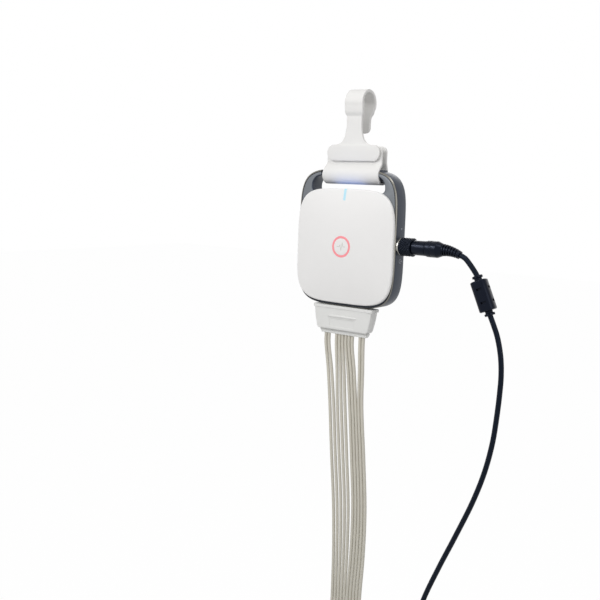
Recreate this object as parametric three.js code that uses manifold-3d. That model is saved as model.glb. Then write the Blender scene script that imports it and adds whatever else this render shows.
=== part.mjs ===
// A hanging electrocardiograph recorder for a computer: a crowned white cover in a dark
// frame with a handle slot, a silicone hanger, ten patient leads and the computer's cable.
import * as THREE from 'three';
import { mergeVertices } from 'three/addons/utils/BufferGeometryUtils.js';
import Module from 'manifold-3d';

const wasm = await Module();
wasm.setup();

// Lengths are in millimetres. X runs to the cable's side, Y to the back and Z up, from the
// middle of the front cover. The finished group is moved so that its origin is the middle
// of the rail in the hanger's loop.

// Running gaps
const clearance = 0.3;
const overrun = 2;
const sameCorner = 0.001;

// Frame
const frameHalfWidth = 51;
const frameLowHeight = 53;
const handleRise = 14.5;
const cornerPower = 4.6;
const frameFrontY = 1.5;
const frameDepth = 15.5;
const frameWall = 4.5;
const frameBackEdge = 0.8;
const frameBackY = frameFrontY + frameDepth;
const frameMiddleY = frameFrontY + frameDepth / 2;

// Handle: the bar over the slot and the posts beside it
const handleTopZ = frameLowHeight + handleRise;
const handlePostWidth = 13;
const handleBarHeight = 5.9;
const slotHeight = 14.1;
const slotTopRadius = 9.2;
const slotBottomRadius = 4;
const slotHalfWidth = frameHalfWidth - handlePostWidth;
const slotTopZ = handleTopZ - handleBarHeight;
const slotBottomZ = slotTopZ - slotHeight;

// Bright trim in the frame's front edge
const trimBevel = 0.7;
const trimWidth = 1.5;
const trimHeight = 1.6;

// Front cover
const coverSideInset = 0.5;
const coverLowInset = 2.5;
const coverHalfWidth = frameHalfWidth - coverSideInset;
const coverHalfHeight = frameLowHeight - coverLowInset;
const coverWall = 2;
const coverEdgeRadius = 1.6;
const coverEdgeY = -1.6;
const coverCrown = 3.4;
const crownPower = 2.4;
const coverRimY = frameFrontY - clearance;

// Cover's screw bosses and the back screws in them
const bossInset = 16;
const bossTopDrop = 15.5;
const bossX = frameHalfWidth - bossInset;
const bossTopZ = slotBottomZ - bossTopDrop;
const bossBottomZ = -frameLowHeight + bossInset;
const bossRadius = 3.2;
const bossShoulderRadius = 4.4;
const screwRadius = 1;
const screwHeadRadius = 2.6;
const screwHeadHeight = 1.1;
const screwLength = 10;

// Back cover
const backCoverThickness = 1.7;
const backLedge = 1.4;

// Button, its ring and switch
const ringOuterRadius = 9.4;
const ringWidth = 1.9;
const ringInnerRadius = ringOuterRadius - ringWidth;
const ringDepth = 3;
const buttonDepth = 2.2;
const buttonStemRadius = 2;
const buttonTravel = 0.6;
const buttonProud = 0.1;
const switchSize = 6;
const switchHeight = 0.8;

// Light bar
const lightBarWidth = 2.4;
const lightBarLength = 10;
const lightBarStartZ = coverHalfHeight - lightBarLength;
const lightBarWrapY = 0.6;
const lightBarShares = [0, 0.25, 0.5, 0.75, 1];

// Main board and its shield
const boardSeatDepth = 4.3;
const boardFrontY = frameFrontY + boardSeatDepth;
const boardThickness = 1.6;
const boardMiddleY = boardFrontY + boardThickness / 2;
const boardMargin = 1;
const shieldWidth = 34;
const shieldHeight = 26;
const shieldDepth = 2.6;
const shieldMiddleZ = 6;

// Lead socket in the frame's floor
const leadSocketHalfWidth = 24;
const leadSocketHalfDepth = 3.3;
const leadSocketHeight = 12;
const leadSocketTopZ = -frameLowHeight + leadSocketHeight;
const leadSocketWall = 1;
const leadSocketRecess = 0.6;

// Port on the right side
const portZ = 3.4;
const portBarrelRadius = 5.9;
const portBarrelWall = 1;
const portFlangeWidth = 1.6;
const portFlangeRadius = portBarrelRadius + portFlangeWidth;
const portFlangeLength = 2;
const portBoreRadius = portBarrelRadius - portBarrelWall;
const portDepth = 8;
const portFloorX = frameHalfWidth - portDepth;
const portFloor = 2;

// Plug in the port
const plugNoseGap = 0.4;
const plugNoseRadius = portBoreRadius - plugNoseGap;
const plugBodyRadius = 6.3;
const plugBevel = 0.9;
const plugBodyLength = 13.4;
const plugCollarRadius = 7;
const plugCollarLength = 10;
const plugTaperLength = 4.2;
const plugTaperRadius = 5.2;
const lockRingRadius = 8;
const lockRingLength = 11;
const lockRingWall = 2;
const knurlDepth = 0.45;
const knurlCount = 32;
const reliefLength = 15.3;
const reliefDrop = 3.2;
const reliefEndRadius = 3.4;
const reliefRibDepth = 0.7;
const reliefRibs = 6;

// Computer's cable, its ferrite and its plug
const cableDiameter = 4.5;
const ferriteLength = 34;
const ferriteRadius = 7.35;
const ferriteBoreRadius = 3.1;
const ferriteCollar = 4.3;
const ferriteNeckRadius = 4.4;
const ferriteX = 131.1;
const ferriteZ = -30.7;
const ferriteAcross = 13.4;
const ferriteDown = 30.4;
const coilLeftX = 86;
const coilMiddleZ = -361;
const coilOuterRadius = 34;
const coilPitch = 5.25;
const coilLayerPitch = 5.1;
const coilTurns = 6;
const coilTail = 46;
const coilTailShares = [0.2, 0.6, 1];
const coilTieWall = 1.4;
const coilTieHeight = 8;
const coilTieSlack = 0.9;
const selfGapReach = 24;
const usbBodyWidth = 15;
const usbBodyDepth = 8;
const usbBodyLength = 26;
const usbTipWidth = 12;
const usbTipDepth = 4.5;
const usbTipLength = 17;

// Lead block under the frame
const blockFrontDepth = 5.7;
const blockBackDepth = 5.8;
const blockGap = 0.5;
const blockHeight = 21.7;
const blockTopHalf = 30.4;
const blockDrawIn = 3.5;
const blockBottomHalf = blockTopHalf - blockDrawIn;
const blockCorner = 2.2;
const blockBackTaper = 1.7;
const blockFrontY = boardMiddleY - blockFrontDepth;
const blockBackY = boardMiddleY + blockBackDepth;
const blockTopZ = -frameLowHeight - blockGap;
const blockBottomZ = blockTopZ - blockHeight;
const lipOverhang = 1;
const lipHalf = blockTopHalf + lipOverhang;
const lipHeight = 2.7;
const lipProud = 0.5;
const ridgeHalf = 15.2;
const ridgeDrop = 8.8;
const ridgeZ = blockTopZ - ridgeDrop;
const ridgeHeight = 1.5;
const ridgeProud = 0.8;
const panelHalf = 13;
const panelDrop = 11.5;
const panelHeight = 7.8;
const panelTopZ = blockTopZ - panelDrop;
const panelBottomZ = panelTopZ - panelHeight;
const panelDepth = 0.5;
const pocketSideWall = 3.4;
const pocketTopWall = 5.5;
const pocketFloor = 3.2;
const pocketHalf = blockBottomHalf - pocketSideWall;
const pocketHalfDepth = 3.6;
const pocketTopZ = blockTopZ - pocketTopWall;
const pocketBottomZ = blockBottomZ + pocketFloor;
const tongueSideGap = 3;
const tongueFaceGap = 0.5;
const tongueReach = 8.9;
const tongueHalf = leadSocketHalfWidth - leadSocketWall - tongueSideGap;
const tongueHalfDepth = leadSocketHalfDepth - leadSocketWall - tongueFaceGap;
const tongueTopZ = blockTopZ + tongueReach;
const tongueRoot = 3;

// Exit bar of the leads
const exitBarInset = 1.2;
const exitBarDrawIn = 2.1;
const exitBarHeight = 4.3;
const exitNeckInset = 2.3;
const exitBarHalf = blockBottomHalf - exitBarInset;
const exitBarEndHalf = exitBarHalf - exitBarDrawIn;
const exitBarBottomZ = blockBottomZ - exitBarHeight;
const exitBarHalfDepth = 2.4;
const exitNeckHalf = pocketHalf - exitNeckInset;
const exitNeckHalfDepth = 1.5;
const exitFlange = 2.2;

// Patient leads
const leadDiameter = 2.9;
const leadExitPitch = 3.45;
const leadExitStraight = 8.7;
const leadPairX = 18.4;
const leadHankTopZ = -335;
const leadHankY = 15;

// Hank of the leads' unseen length
const hankRunPitch = 21.8;
const hankGatherZ = -385;
const hankBottomZ = -500;
const hankTopFoldZ = -363;
const hankColumnPitch = 3.8;
const hankLayerPitch = 3.5;
const hankWaistPitch = 5.4;
const hankWaistZ = -432;
const hankWaistReach = 28;
const hankFanZ = -507;
const hankEndZ = -548;
const fanColumnPitch = 9;
const fanLayerPitch = 8;
const leadTieWall = 1.6;
const leadTieHeight = 14;
const leadTieSlack = 1;
const leadPlugRadius = 3.2;
const leadPlugLength = 24;
const leadPlugNeckRadius = 2.2;
const leadPlugTaper = 6;
const leadPinRadius = 1.9;
const leadPinTipRadius = 1.5;
const leadPinLength = 16;

// Grip: the round middle of the handle bar, which lies inside the band
const gripRadius = 6.1;
const gripDrop = 4.5;
const gripBack = 1.2;
const gripRoot = 0.6;
const gripMiddleY = frameMiddleY + gripBack;
const gripMiddleZ = handleTopZ - gripDrop;

// Band round the grip: a ring that turns on it, and two layers above the ring
const bandThickness = 2;
const bandSlack = 0.35;
const bandSideGap = 8.4;
const bandDrawIn = 1.1;
const bandRadius = gripRadius + bandSlack + bandThickness / 2;
const bandLowHalfWidth = slotHalfWidth - bandSideGap;
const bandHalfWidth = bandLowHalfWidth - bandDrawIn;
const bandCornerRadius = 5;
const bandArc = { fromDegrees: 140, toDegrees: 380, count: 14 };

// Hanger strap: its tab stands over the band, and its neck, loop and tongue over the tab
const strapShift = 1.2;
const strapThickness = 2.7;
const tabThickness = 2.4;
const tabRise = 11.8;
const tabHeight = 14.3;
const tabInset = 1.1;
const tabHalfWidth = bandHalfWidth - tabInset;
const tabBottomZ = gripMiddleZ + tabRise;
const neckForward = 3.75;
const neckFrontY = frameMiddleY - neckForward;
const neckHalfWidth = 7.8;
const neckFilletInset = 8.9;
const neckFilletRise = 33.2;
const neckFilletX = tabHalfWidth - neckFilletInset;
const neckFilletZ = tabBottomZ + neckFilletRise;
const neckEndRise = 38.2;
const neckEndZ = tabBottomZ + neckEndRise;
const loopHalfWidth = 9.25;
const loopStartRise = 42.2;
const loopStartZ = tabBottomZ + loopStartRise;
const loopOuterRadius = 11.75;
const loopBack = 9.45;
const loopMiddleRise = 50.5;
const loopMiddleY = neckFrontY + loopBack;
const loopMiddleZ = tabBottomZ + loopMiddleRise;
const loopArc = { fromDegrees: 205, toDegrees: -40, count: 14 };
const tongueBack = 16;
const tongueEndRise = 24.5;
const tongueRearY = neckFrontY + tongueBack;
const tongueEndZ = tabBottomZ + tongueEndRise;
const railDiameter = 6.5;
const studInset = 10.4;
const studX = tabHalfWidth - studInset;
const studRadius = 2.5;
const studHeadRadius = 4;
const studHeadHeight = 1.6;

// Band's layers behind the tab
const bandLayerPitch = 7.1;
const bandTopRise = 13.2;
const bandFrontTopRise = 11.7;
const bandFrontY = neckFrontY + tabThickness + clearance + bandThickness / 2;
const bandRearY = bandFrontY + bandLayerPitch;
const bandTopZ = tabBottomZ + bandTopRise;
const bandFrontTopZ = tabBottomZ + bandFrontTopRise;

// Counts of facets
const outlinePoints = 48;
const roundFacets = 28;
const boreFacets = 12;
const arcSegments = 5;
const cableSides = 8;
const coilSides = 6;
const coilStepsPerTurn = 22;
const reliefFacets = 10;
const leadPlugFacets = 8;
const ferriteFacets = 20;
const ribbonSteps = 34;
const leadStepLength = 12.5;
const cableStepLength = 13.4;

// Closed meshes and solids

function closedGeometry(vertices, triangles) {
  const geometry = new THREE.BufferGeometry();
  geometry.setAttribute('position', new THREE.Float32BufferAttribute(vertices, 3));
  geometry.setIndex(triangles);
  return geometry;
}

function meshVolume(geometry) {
  const position = geometry.attributes.position;
  const index = geometry.index.array;
  const corners = [new THREE.Vector3(), new THREE.Vector3(), new THREE.Vector3()];
  let sum = 0;
  for (let i = 0; i < index.length; i += 3) {
    corners.forEach((corner, k) => corner.fromBufferAttribute(position, index[i + k]));
    sum += corners[0].dot(corners[1].clone().cross(corners[2])) / 6;
  }
  return sum;
}

function turnOutwards(geometry) {
  if (meshVolume(geometry) > 0) return geometry;
  const index = geometry.index.array;
  for (let i = 0; i < index.length; i += 3) [index[i], index[i + 1]] = [index[i + 1], index[i]];
  return geometry;
}

// Shared corners merged, faces without area dropped, and all faces turned outwards
function closedMesh(geometry) {
  const bare = geometry.clone();
  bare.deleteAttribute('normal');
  bare.deleteAttribute('uv');
  const merged = mergeVertices(bare);
  const index = merged.index.array;
  const triangles = [];
  for (let i = 0; i < index.length; i += 3) {
    const [a, b, c] = [index[i], index[i + 1], index[i + 2]];
    if (a !== b && b !== c && c !== a) triangles.push(a, b, c);
  }
  return turnOutwards(closedGeometry(Array.from(merged.attributes.position.array), triangles));
}

// Skins a stack of loops of equal count. A loop of one point is a tip, an end loop of many
// points gets a flat cap, and with ring set the last loop joins the first.
function skinLoops(loops, ring = false) {
  const vertices = [];
  const starts = [];
  for (const loop of loops) {
    starts.push(vertices.length / 3);
    for (const point of loop) vertices.push(point.x, point.y, point.z);
  }
  const triangles = [];
  const joinLoops = (a, b) => {
    const countA = loops[a].length;
    const countB = loops[b].length;
    const count = Math.max(countA, countB);
    for (let i = 0; i < count; i += 1) {
      const next = (i + 1) % count;
      const a0 = starts[a] + (countA === 1 ? 0 : i);
      const a1 = starts[a] + (countA === 1 ? 0 : next);
      const b0 = starts[b] + (countB === 1 ? 0 : i);
      const b1 = starts[b] + (countB === 1 ? 0 : next);
      if (countA > 1) triangles.push(a0, a1, b0);
      if (countB > 1) triangles.push(a1, b1, b0);
    }
  };
  for (let k = 0; k + 1 < loops.length; k += 1) joinLoops(k, k + 1);
  if (ring) joinLoops(loops.length - 1, 0);
  const capLoop = (k, forwards) => {
    const middle = new THREE.Vector3();
    for (const point of loops[k]) middle.add(point);
    middle.divideScalar(loops[k].length);
    const tip = vertices.length / 3;
    vertices.push(middle.x, middle.y, middle.z);
    for (let i = 0; i < loops[k].length; i += 1) {
      const here = starts[k] + i;
      const next = starts[k] + (i + 1) % loops[k].length;
      triangles.push(forwards ? here : next, forwards ? next : here, tip);
    }
  };
  if (!ring && loops[0].length > 1) capLoop(0, false);
  if (!ring && loops[loops.length - 1].length > 1) capLoop(loops.length - 1, true);
  return turnOutwards(closedGeometry(vertices, triangles));
}

function solid(geometry) {
  const closed = closedMesh(geometry);
  const vertProperties = Float32Array.from(closed.attributes.position.array);
  const triVerts = Uint32Array.from(closed.index.array);
  return new wasm.Manifold(new wasm.Mesh({ numProp: 3, vertProperties, triVerts }));
}

function geometryOf(shape) {
  const mesh = shape.getMesh();
  return closedGeometry(Array.from(mesh.vertProperties), Array.from(mesh.triVerts));
}

// Extrusions along each axis. Arcs that meet end to end share one corner.

function withoutRepeats(points) {
  return points.filter((point, i) => point.distanceTo(points[(i + 1) % points.length]) > sameCorner);
}

function extrude(shape, depth, options = {}) {
  const { shape: outline, holes } = shape.extractPoints(arcSegments);
  const clean = new THREE.Shape(withoutRepeats(outline));
  clean.holes = holes.map((hole) => new THREE.Path(withoutRepeats(hole)));
  return new THREE.ExtrudeGeometry(clean, { depth, bevelEnabled: false, ...options });
}

function alongX(shape, fromX, toX) {
  const geometry = extrude(shape, toX - fromX);
  const turn = new THREE.Matrix4();
  turn.makeBasis(new THREE.Vector3(0, 1, 0), new THREE.Vector3(0, 0, 1), new THREE.Vector3(1, 0, 0));
  geometry.applyMatrix4(turn);
  geometry.translate(fromX, 0, 0);
  return geometry;
}

function alongY(shape, fromY, toY) {
  const geometry = extrude(shape, toY - fromY);
  geometry.rotateX(Math.PI / 2);
  geometry.translate(0, toY, 0);
  return geometry;
}

function box(fromX, toX, fromY, toY, fromZ, toZ) {
  const geometry = new THREE.BoxGeometry(toX - fromX, toY - fromY, toZ - fromZ);
  geometry.translate((fromX + toX) / 2, (fromY + toY) / 2, (fromZ + toZ) / 2);
  return geometry;
}

// Turns a profile of [place along the axis, radius] about an axis along Y or X.
function turnedY(profile, facets = roundFacets) {
  return new THREE.LatheGeometry(profile.map(([along, radius]) => new THREE.Vector2(radius, along)), facets);
}

function turnedX(profile, facets = roundFacets) {
  return turnedY(profile, facets).rotateZ(-Math.PI / 2);
}

function rodY(radius, fromY, toY, facets = boreFacets) {
  return turnedY([[fromY, 0], [fromY, radius], [toY, radius], [toY, 0]], facets);
}

function polygon(points) {
  return new THREE.Shape(points.map(([a, b]) => new THREE.Vector2(a, b)));
}

function mirrored(points) {
  return [...points, ...points.map(([a, b]) => [-a, b]).reverse()];
}

function roundedBox(fromA, toA, fromB, toB, lowRadius, highRadius) {
  const shape = new THREE.Shape();
  shape.moveTo(fromA + lowRadius, fromB);
  shape.absarc(toA - lowRadius, fromB + lowRadius, lowRadius, -Math.PI / 2, 0);
  shape.absarc(toA - highRadius, toB - highRadius, highRadius, 0, Math.PI / 2);
  shape.absarc(fromA + highRadius, toB - highRadius, highRadius, Math.PI / 2, Math.PI);
  shape.absarc(fromA + lowRadius, fromB + lowRadius, lowRadius, Math.PI, 3 * Math.PI / 2);
  return shape;
}

function tube(curve, radius, sides, steps) {
  const section = [];
  for (let i = 0; i < sides; i += 1) {
    const angle = 2 * Math.PI * i / sides;
    section.push([radius * Math.cos(angle), radius * Math.sin(angle)]);
  }
  return extrude(polygon(section), 0, { steps, extrudePath: curve });
}

// The squircle outline that the frame, cover and boards share: a superellipse whose upper
// half may be moved up, which leaves straight sides.
function squircle(halfWidth, halfHeight, middleZ, rise, y) {
  const points = [];
  for (let i = 0; i < outlinePoints; i += 1) {
    const angle = 2 * Math.PI * i / outlinePoints;
    const across = Math.cos(angle);
    const up = Math.sin(angle);
    const reach = (value) => Math.sign(value) * Math.abs(value) ** (2 / cornerPower);
    const lift = i <= outlinePoints / 2 ? rise : 0;
    points.push(new THREE.Vector3(halfWidth * reach(across), y, middleZ + halfHeight * reach(up) + lift));
  }
  return points;
}

function squirclePrism(halfWidth, halfHeight, middleZ, fromY, toY) {
  return skinLoops([
    squircle(halfWidth, halfHeight, middleZ, 0, fromY),
    squircle(halfWidth, halfHeight, middleZ, 0, toY),
  ]);
}

// Frame's cavity
const cavityHalfWidth = frameHalfWidth - frameWall;
const cavityTopZ = slotBottomZ - frameWall + frameBackEdge;
const cavityBottomZ = -frameLowHeight + frameWall;
const cavityMiddleZ = (cavityTopZ + cavityBottomZ) / 2;
const cavityHalfHeight = (cavityTopZ - cavityBottomZ) / 2;
const backLedgeY = frameBackY - backCoverThickness - clearance;
const bossPlaces = [[-bossX, bossTopZ], [bossX, bossTopZ], [-bossX, bossBottomZ], [bossX, bossBottomZ]];

// The length of the handle bar that the band takes up, and the round grip in its place
const gripGapHalf = bandLowHalfWidth + clearance;

function gripGap() {
  return solid(box(
    strapShift - gripGapHalf, strapShift + gripGapHalf, frameFrontY - overrun, frameBackY + overrun,
    slotTopZ - overrun, handleTopZ + overrun));
}

function grip() {
  const reach = gripGapHalf + gripRoot;
  const rod = turnedX([[-reach, 0], [-reach, gripRadius], [reach, gripRadius], [reach, 0]]);
  const top = box(
    -reach - overrun, reach + overrun, -gripRadius - overrun, gripRadius + overrun,
    gripDrop, gripRadius + overrun);
  const body = solid(rod).subtract(solid(top));
  return body.translate([strapShift, gripMiddleY, gripMiddleZ]);
}

function frameSolid() {
  const outline = (inset, y) => squircle(
    frameHalfWidth - inset, frameLowHeight - inset, 0, handleRise, y);
  const seatY = frameFrontY + trimHeight + clearance;
  let body = solid(skinLoops([
    outline(trimWidth + clearance, frameFrontY),
    outline(trimWidth + clearance, seatY),
    outline(0, seatY),
    outline(0, frameBackY - frameBackEdge),
    outline(frameBackEdge, frameBackY),
  ]));
  const slot = roundedBox(
    -slotHalfWidth, slotHalfWidth, slotBottomZ, slotTopZ, slotBottomRadius, slotTopRadius);
  const frontEnd = frameFrontY - overrun;
  const backEnd = frameBackY + overrun;
  const cuts = [
    squirclePrism(cavityHalfWidth, cavityHalfHeight, cavityMiddleZ, frontEnd, backEnd),
    squirclePrism(
      cavityHalfWidth + backLedge, cavityHalfHeight + backLedge, cavityMiddleZ, backLedgeY, backEnd),
    alongY(slot, frontEnd, backEnd),
    box(
      -leadSocketHalfWidth - clearance, leadSocketHalfWidth + clearance,
      boardMiddleY - leadSocketHalfDepth - clearance, boardMiddleY + leadSocketHalfDepth + clearance,
      -frameLowHeight - overrun, cavityBottomZ + overrun),
    turnedX([
      [cavityHalfWidth - overrun, 0],
      [cavityHalfWidth - overrun, portBarrelRadius + clearance],
      [frameHalfWidth + overrun, portBarrelRadius + clearance],
      [frameHalfWidth + overrun, 0],
    ], roundFacets).translate(0, frameMiddleY, portZ),
  ];
  for (const cut of cuts) body = body.subtract(solid(cut));
  return geometryOf(body.subtract(gripGap()).add(grip()));
}

function edgeTrim() {
  const outline = (inset, y) => squircle(
    frameHalfWidth - inset, frameLowHeight - inset, 0, handleRise, y);
  const ring = skinLoops([
    outline(trimBevel, frameFrontY),
    outline(0, frameFrontY + trimBevel),
    outline(0, frameFrontY + trimHeight),
    outline(trimWidth, frameFrontY + trimHeight),
    outline(trimWidth, frameFrontY),
  ], true);
  return geometryOf(solid(ring).subtract(gripGap()));
}

// Cover: its face at a share of the way from the middle to the edge, then its round edge

const crownShares = [0.45, 0.8, 1];
const edgeTurnShares = [0.5, 1];

function crownY(share) {
  return coverEdgeY - coverCrown * (1 - share ** crownPower);
}

// Each station gives its share of the flat face, how far it is past the face's edge, and its Y.
function coverSection(inset) {
  const section = crownShares.map((share) => ({ share, past: 0, y: crownY(share) + inset }));
  for (const turnShare of edgeTurnShares) {
    const angle = turnShare * Math.PI / 2;
    section.push({
      share: 1,
      past: (coverEdgeRadius - inset) * Math.sin(angle),
      y: coverEdgeY + coverEdgeRadius - (coverEdgeRadius - inset) * Math.cos(angle),
    });
  }
  section.push({ share: 1, past: coverEdgeRadius - inset, y: coverRimY });
  return section;
}

function coverSolid() {
  const flatWidth = coverHalfWidth - coverEdgeRadius;
  const flatHeight = coverHalfHeight - coverEdgeRadius;
  const loopAt = ({ share, past, y }) => squircle(
    flatWidth * share + past, flatHeight * share + past, 0, 0, y);
  const outer = coverSection(0).map(loopAt);
  const inner = coverSection(coverWall).filter(({ y }, i) => i < crownShares.length - 1 || y > coverEdgeY);
  const loops = [
    [new THREE.Vector3(0, crownY(0), 0)],
    ...outer,
    ...inner.map(loopAt).reverse(),
    [new THREE.Vector3(0, crownY(0) + coverWall, 0)],
  ];
  let body = solid(skinLoops(loops));
  const bossEndY = backLedgeY - clearance;
  const shoulderY = boardFrontY - clearance;
  for (const [x, z] of bossPlaces) {
    const boss = turnedY([
      [coverEdgeY, 0], [coverEdgeY, bossShoulderRadius], [shoulderY, bossShoulderRadius],
      [shoulderY, bossRadius], [bossEndY, bossRadius], [bossEndY, 0],
    ], boreFacets).translate(x, 0, z);
    const bore = rodY(screwRadius + clearance, bossEndY - screwLength, bossEndY + overrun);
    body = body.add(solid(boss)).subtract(solid(bore.translate(x, 0, z)));
  }
  const ringHole = rodY(ringOuterRadius + clearance, crownY(0) - overrun, coverRimY, roundFacets);
  const barHole = box(
    -lightBarWidth / 2 - clearance, lightBarWidth / 2 + clearance,
    crownY(0) - overrun, lightBarWrapY + clearance, lightBarStartZ - clearance, coverHalfHeight + overrun);
  body = body.subtract(solid(ringHole)).subtract(solid(barHole));
  return geometryOf(body);
}

// The light guide fills its slot in the cover: the cover's own section at X 0, cut out.
function lightBar() {
  const flatHalf = coverHalfHeight - coverEdgeRadius;
  const outline = (inset) => {
    const points = [];
    const startShare = lightBarStartZ / flatHalf;
    for (const along of lightBarShares) {
      const share = startShare + (1 - startShare) * along;
      points.push([crownY(share) + inset, share * flatHalf]);
    }
    for (const turnShare of edgeTurnShares) {
      const angle = turnShare * Math.PI / 2;
      const radius = Math.max(coverEdgeRadius - inset, 0);
      points.push([
        Math.max(coverEdgeY + coverEdgeRadius - radius * Math.cos(angle), crownY(1) + inset),
        flatHalf + (coverEdgeRadius - inset) * Math.sin(angle),
      ]);
    }
    points.push([lightBarWrapY, coverHalfHeight - inset]);
    return points;
  };
  const outer = outline(0);
  const innerKept = lightBarShares.length - 1;
  const inner = outline(coverWall).filter((place, i) => i < innerKept || i === outer.length - 1);
  const shape = polygon([...outer, ...inner.reverse()]);
  return alongX(shape, -lightBarWidth / 2, lightBarWidth / 2);
}

function startButton() {
  const faceY = crownY(0) - buttonProud;
  const radius = ringInnerRadius - clearance;
  const stemEndY = boardFrontY - clearance - switchHeight - buttonTravel - clearance;
  return turnedY([
    [faceY, 0], [faceY, radius - clearance], [faceY + clearance, radius],
    [faceY + buttonDepth, radius], [faceY + buttonDepth, buttonStemRadius],
    [stemEndY, buttonStemRadius], [stemEndY, 0],
  ]);
}

function buttonRing() {
  const faceY = crownY(0);
  const backY = faceY + ringDepth;
  return turnedY([
    [faceY, ringInnerRadius], [backY, ringInnerRadius], [backY, ringOuterRadius],
    [faceY, ringOuterRadius], [faceY, ringInnerRadius],
  ]);
}

function buttonSwitch() {
  const backY = boardFrontY - clearance;
  return box(-switchSize / 2, switchSize / 2, backY - switchHeight, backY, -switchSize / 2, switchSize / 2);
}

function backCover() {
  const inset = backLedge - clearance;
  const frontY = backLedgeY + clearance;
  let body = solid(squirclePrism(
    cavityHalfWidth + inset, cavityHalfHeight + inset, cavityMiddleZ, frontY, frameBackY));
  for (const [x, z] of bossPlaces) {
    const hole = turnedY([
      [frontY - overrun, 0], [frontY - overrun, screwRadius + clearance],
      [frameBackY - screwHeadHeight - clearance, screwRadius + clearance],
      [frameBackY - screwHeadHeight - clearance, screwHeadRadius + clearance],
      [frameBackY + overrun, screwHeadRadius + clearance], [frameBackY + overrun, 0],
    ], boreFacets);
    body = body.subtract(solid(hole.translate(x, 0, z)));
  }
  return geometryOf(body);
}

function backScrew([x, z]) {
  const headY = frameBackY - screwHeadHeight;
  const tipY = backLedgeY - screwLength + clearance;
  return turnedY([
    [tipY, 0], [tipY, screwRadius], [headY, screwRadius], [headY, screwHeadRadius],
    [frameBackY - clearance, screwHeadRadius], [frameBackY - clearance, 0],
  ], boreFacets).translate(x, 0, z);
}

function mainBoard() {
  const halfWidth = cavityHalfWidth - boardMargin;
  const halfHeight = cavityHalfHeight - boardMargin;
  const backY = boardFrontY + boardThickness;
  let body = solid(squirclePrism(halfWidth, halfHeight, cavityMiddleZ, boardFrontY, backY));
  const cuts = bossPlaces.map(([x, z]) => rodY(
    bossRadius + clearance, boardFrontY - overrun, backY + overrun).translate(x, 0, z));
  cuts.push(box(
    -leadSocketHalfWidth - boardMargin, leadSocketHalfWidth + boardMargin,
    boardFrontY - overrun, backY + overrun, cavityBottomZ - overrun, leadSocketTopZ + clearance));
  cuts.push(box(
    portFloorX - portFloor - clearance, cavityHalfWidth + overrun, boardFrontY - overrun, backY + overrun,
    portZ - portBarrelRadius - boardMargin, portZ + portBarrelRadius + boardMargin));
  for (const cut of cuts) body = body.subtract(solid(cut));
  return geometryOf(body);
}

function shieldCan() {
  const frontY = boardFrontY + boardThickness + clearance;
  return box(
    -shieldWidth / 2, shieldWidth / 2, frontY, frontY + shieldDepth,
    shieldMiddleZ - shieldHeight / 2, shieldMiddleZ + shieldHeight / 2);
}

function leadSocket() {
  const bottomZ = -frameLowHeight + leadSocketRecess;
  const outer = box(
    -leadSocketHalfWidth, leadSocketHalfWidth, boardMiddleY - leadSocketHalfDepth,
    boardMiddleY + leadSocketHalfDepth, bottomZ, leadSocketTopZ);
  const mouth = box(
    -leadSocketHalfWidth + leadSocketWall, leadSocketHalfWidth - leadSocketWall,
    boardMiddleY - leadSocketHalfDepth + leadSocketWall, boardMiddleY + leadSocketHalfDepth - leadSocketWall,
    bottomZ - overrun, leadSocketTopZ - leadSocketWall);
  return geometryOf(solid(outer).subtract(solid(mouth)));
}

// Port, plug and strain relief, turned about the port's axis

const portMouthX = frameHalfWidth + clearance + portFlangeLength;
const lockRingX = portMouthX + clearance;
const plugBodyX = lockRingX + lockRingLength + clearance;
const plugCollarX = plugBodyX + plugBodyLength;
const plugTaperX = plugCollarX + plugCollarLength;
const plugEndX = plugTaperX + plugTaperLength;

function portSocket() {
  const flangeX = frameHalfWidth + clearance;
  return turnedX([
    [portFloorX - portFloor, 0], [portFloorX - portFloor, portBarrelRadius],
    [flangeX, portBarrelRadius], [flangeX, portFlangeRadius], [portMouthX, portFlangeRadius],
    [portMouthX, portBoreRadius], [portFloorX, portBoreRadius], [portFloorX, 0],
  ]).translate(0, frameMiddleY, portZ);
}

function plugBody() {
  const noseX = portFloorX + clearance;
  return turnedX([
    [noseX, 0], [noseX, plugNoseRadius], [plugBodyX, plugNoseRadius],
    [plugBodyX, plugBodyRadius], [plugCollarX, plugBodyRadius],
    [plugCollarX + plugBevel / 2, plugCollarRadius], [plugTaperX, plugCollarRadius],
    [plugEndX, plugTaperRadius], [plugEndX, 0],
  ]).translate(0, frameMiddleY, portZ);
}

function lockRing() {
  const outline = [];
  for (let i = 0; i < 2 * knurlCount; i += 1) {
    const angle = Math.PI * i / knurlCount;
    const radius = lockRingRadius - (i % 2) * knurlDepth;
    outline.push([radius * Math.cos(angle), radius * Math.sin(angle)]);
  }
  const shape = polygon(outline);
  shape.holes.push(new THREE.Path().absarc(0, 0, lockRingRadius - lockRingWall, 0, 2 * Math.PI, true));
  return alongX(shape, lockRingX, lockRingX + lockRingLength).translate(0, frameMiddleY, portZ);
}

// A ring of facets round a path that lies in the plane of X and Z
function ringAcross(x, z, slope, radius, facets) {
  const points = [];
  for (let i = 0; i < facets; i += 1) {
    const angle = 2 * Math.PI * i / facets;
    const side = radius * Math.cos(angle);
    const lift = radius * Math.sin(angle);
    points.push(new THREE.Vector3(
      x - lift * Math.sin(slope), frameMiddleY + side, z + lift * Math.cos(slope)));
  }
  return points;
}

function reliefPlace(share) {
  return {
    x: plugEndX + clearance + reliefLength * share,
    z: portZ - reliefDrop * share ** 2,
    slope: Math.atan2(-2 * reliefDrop * share, reliefLength),
  };
}

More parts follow.
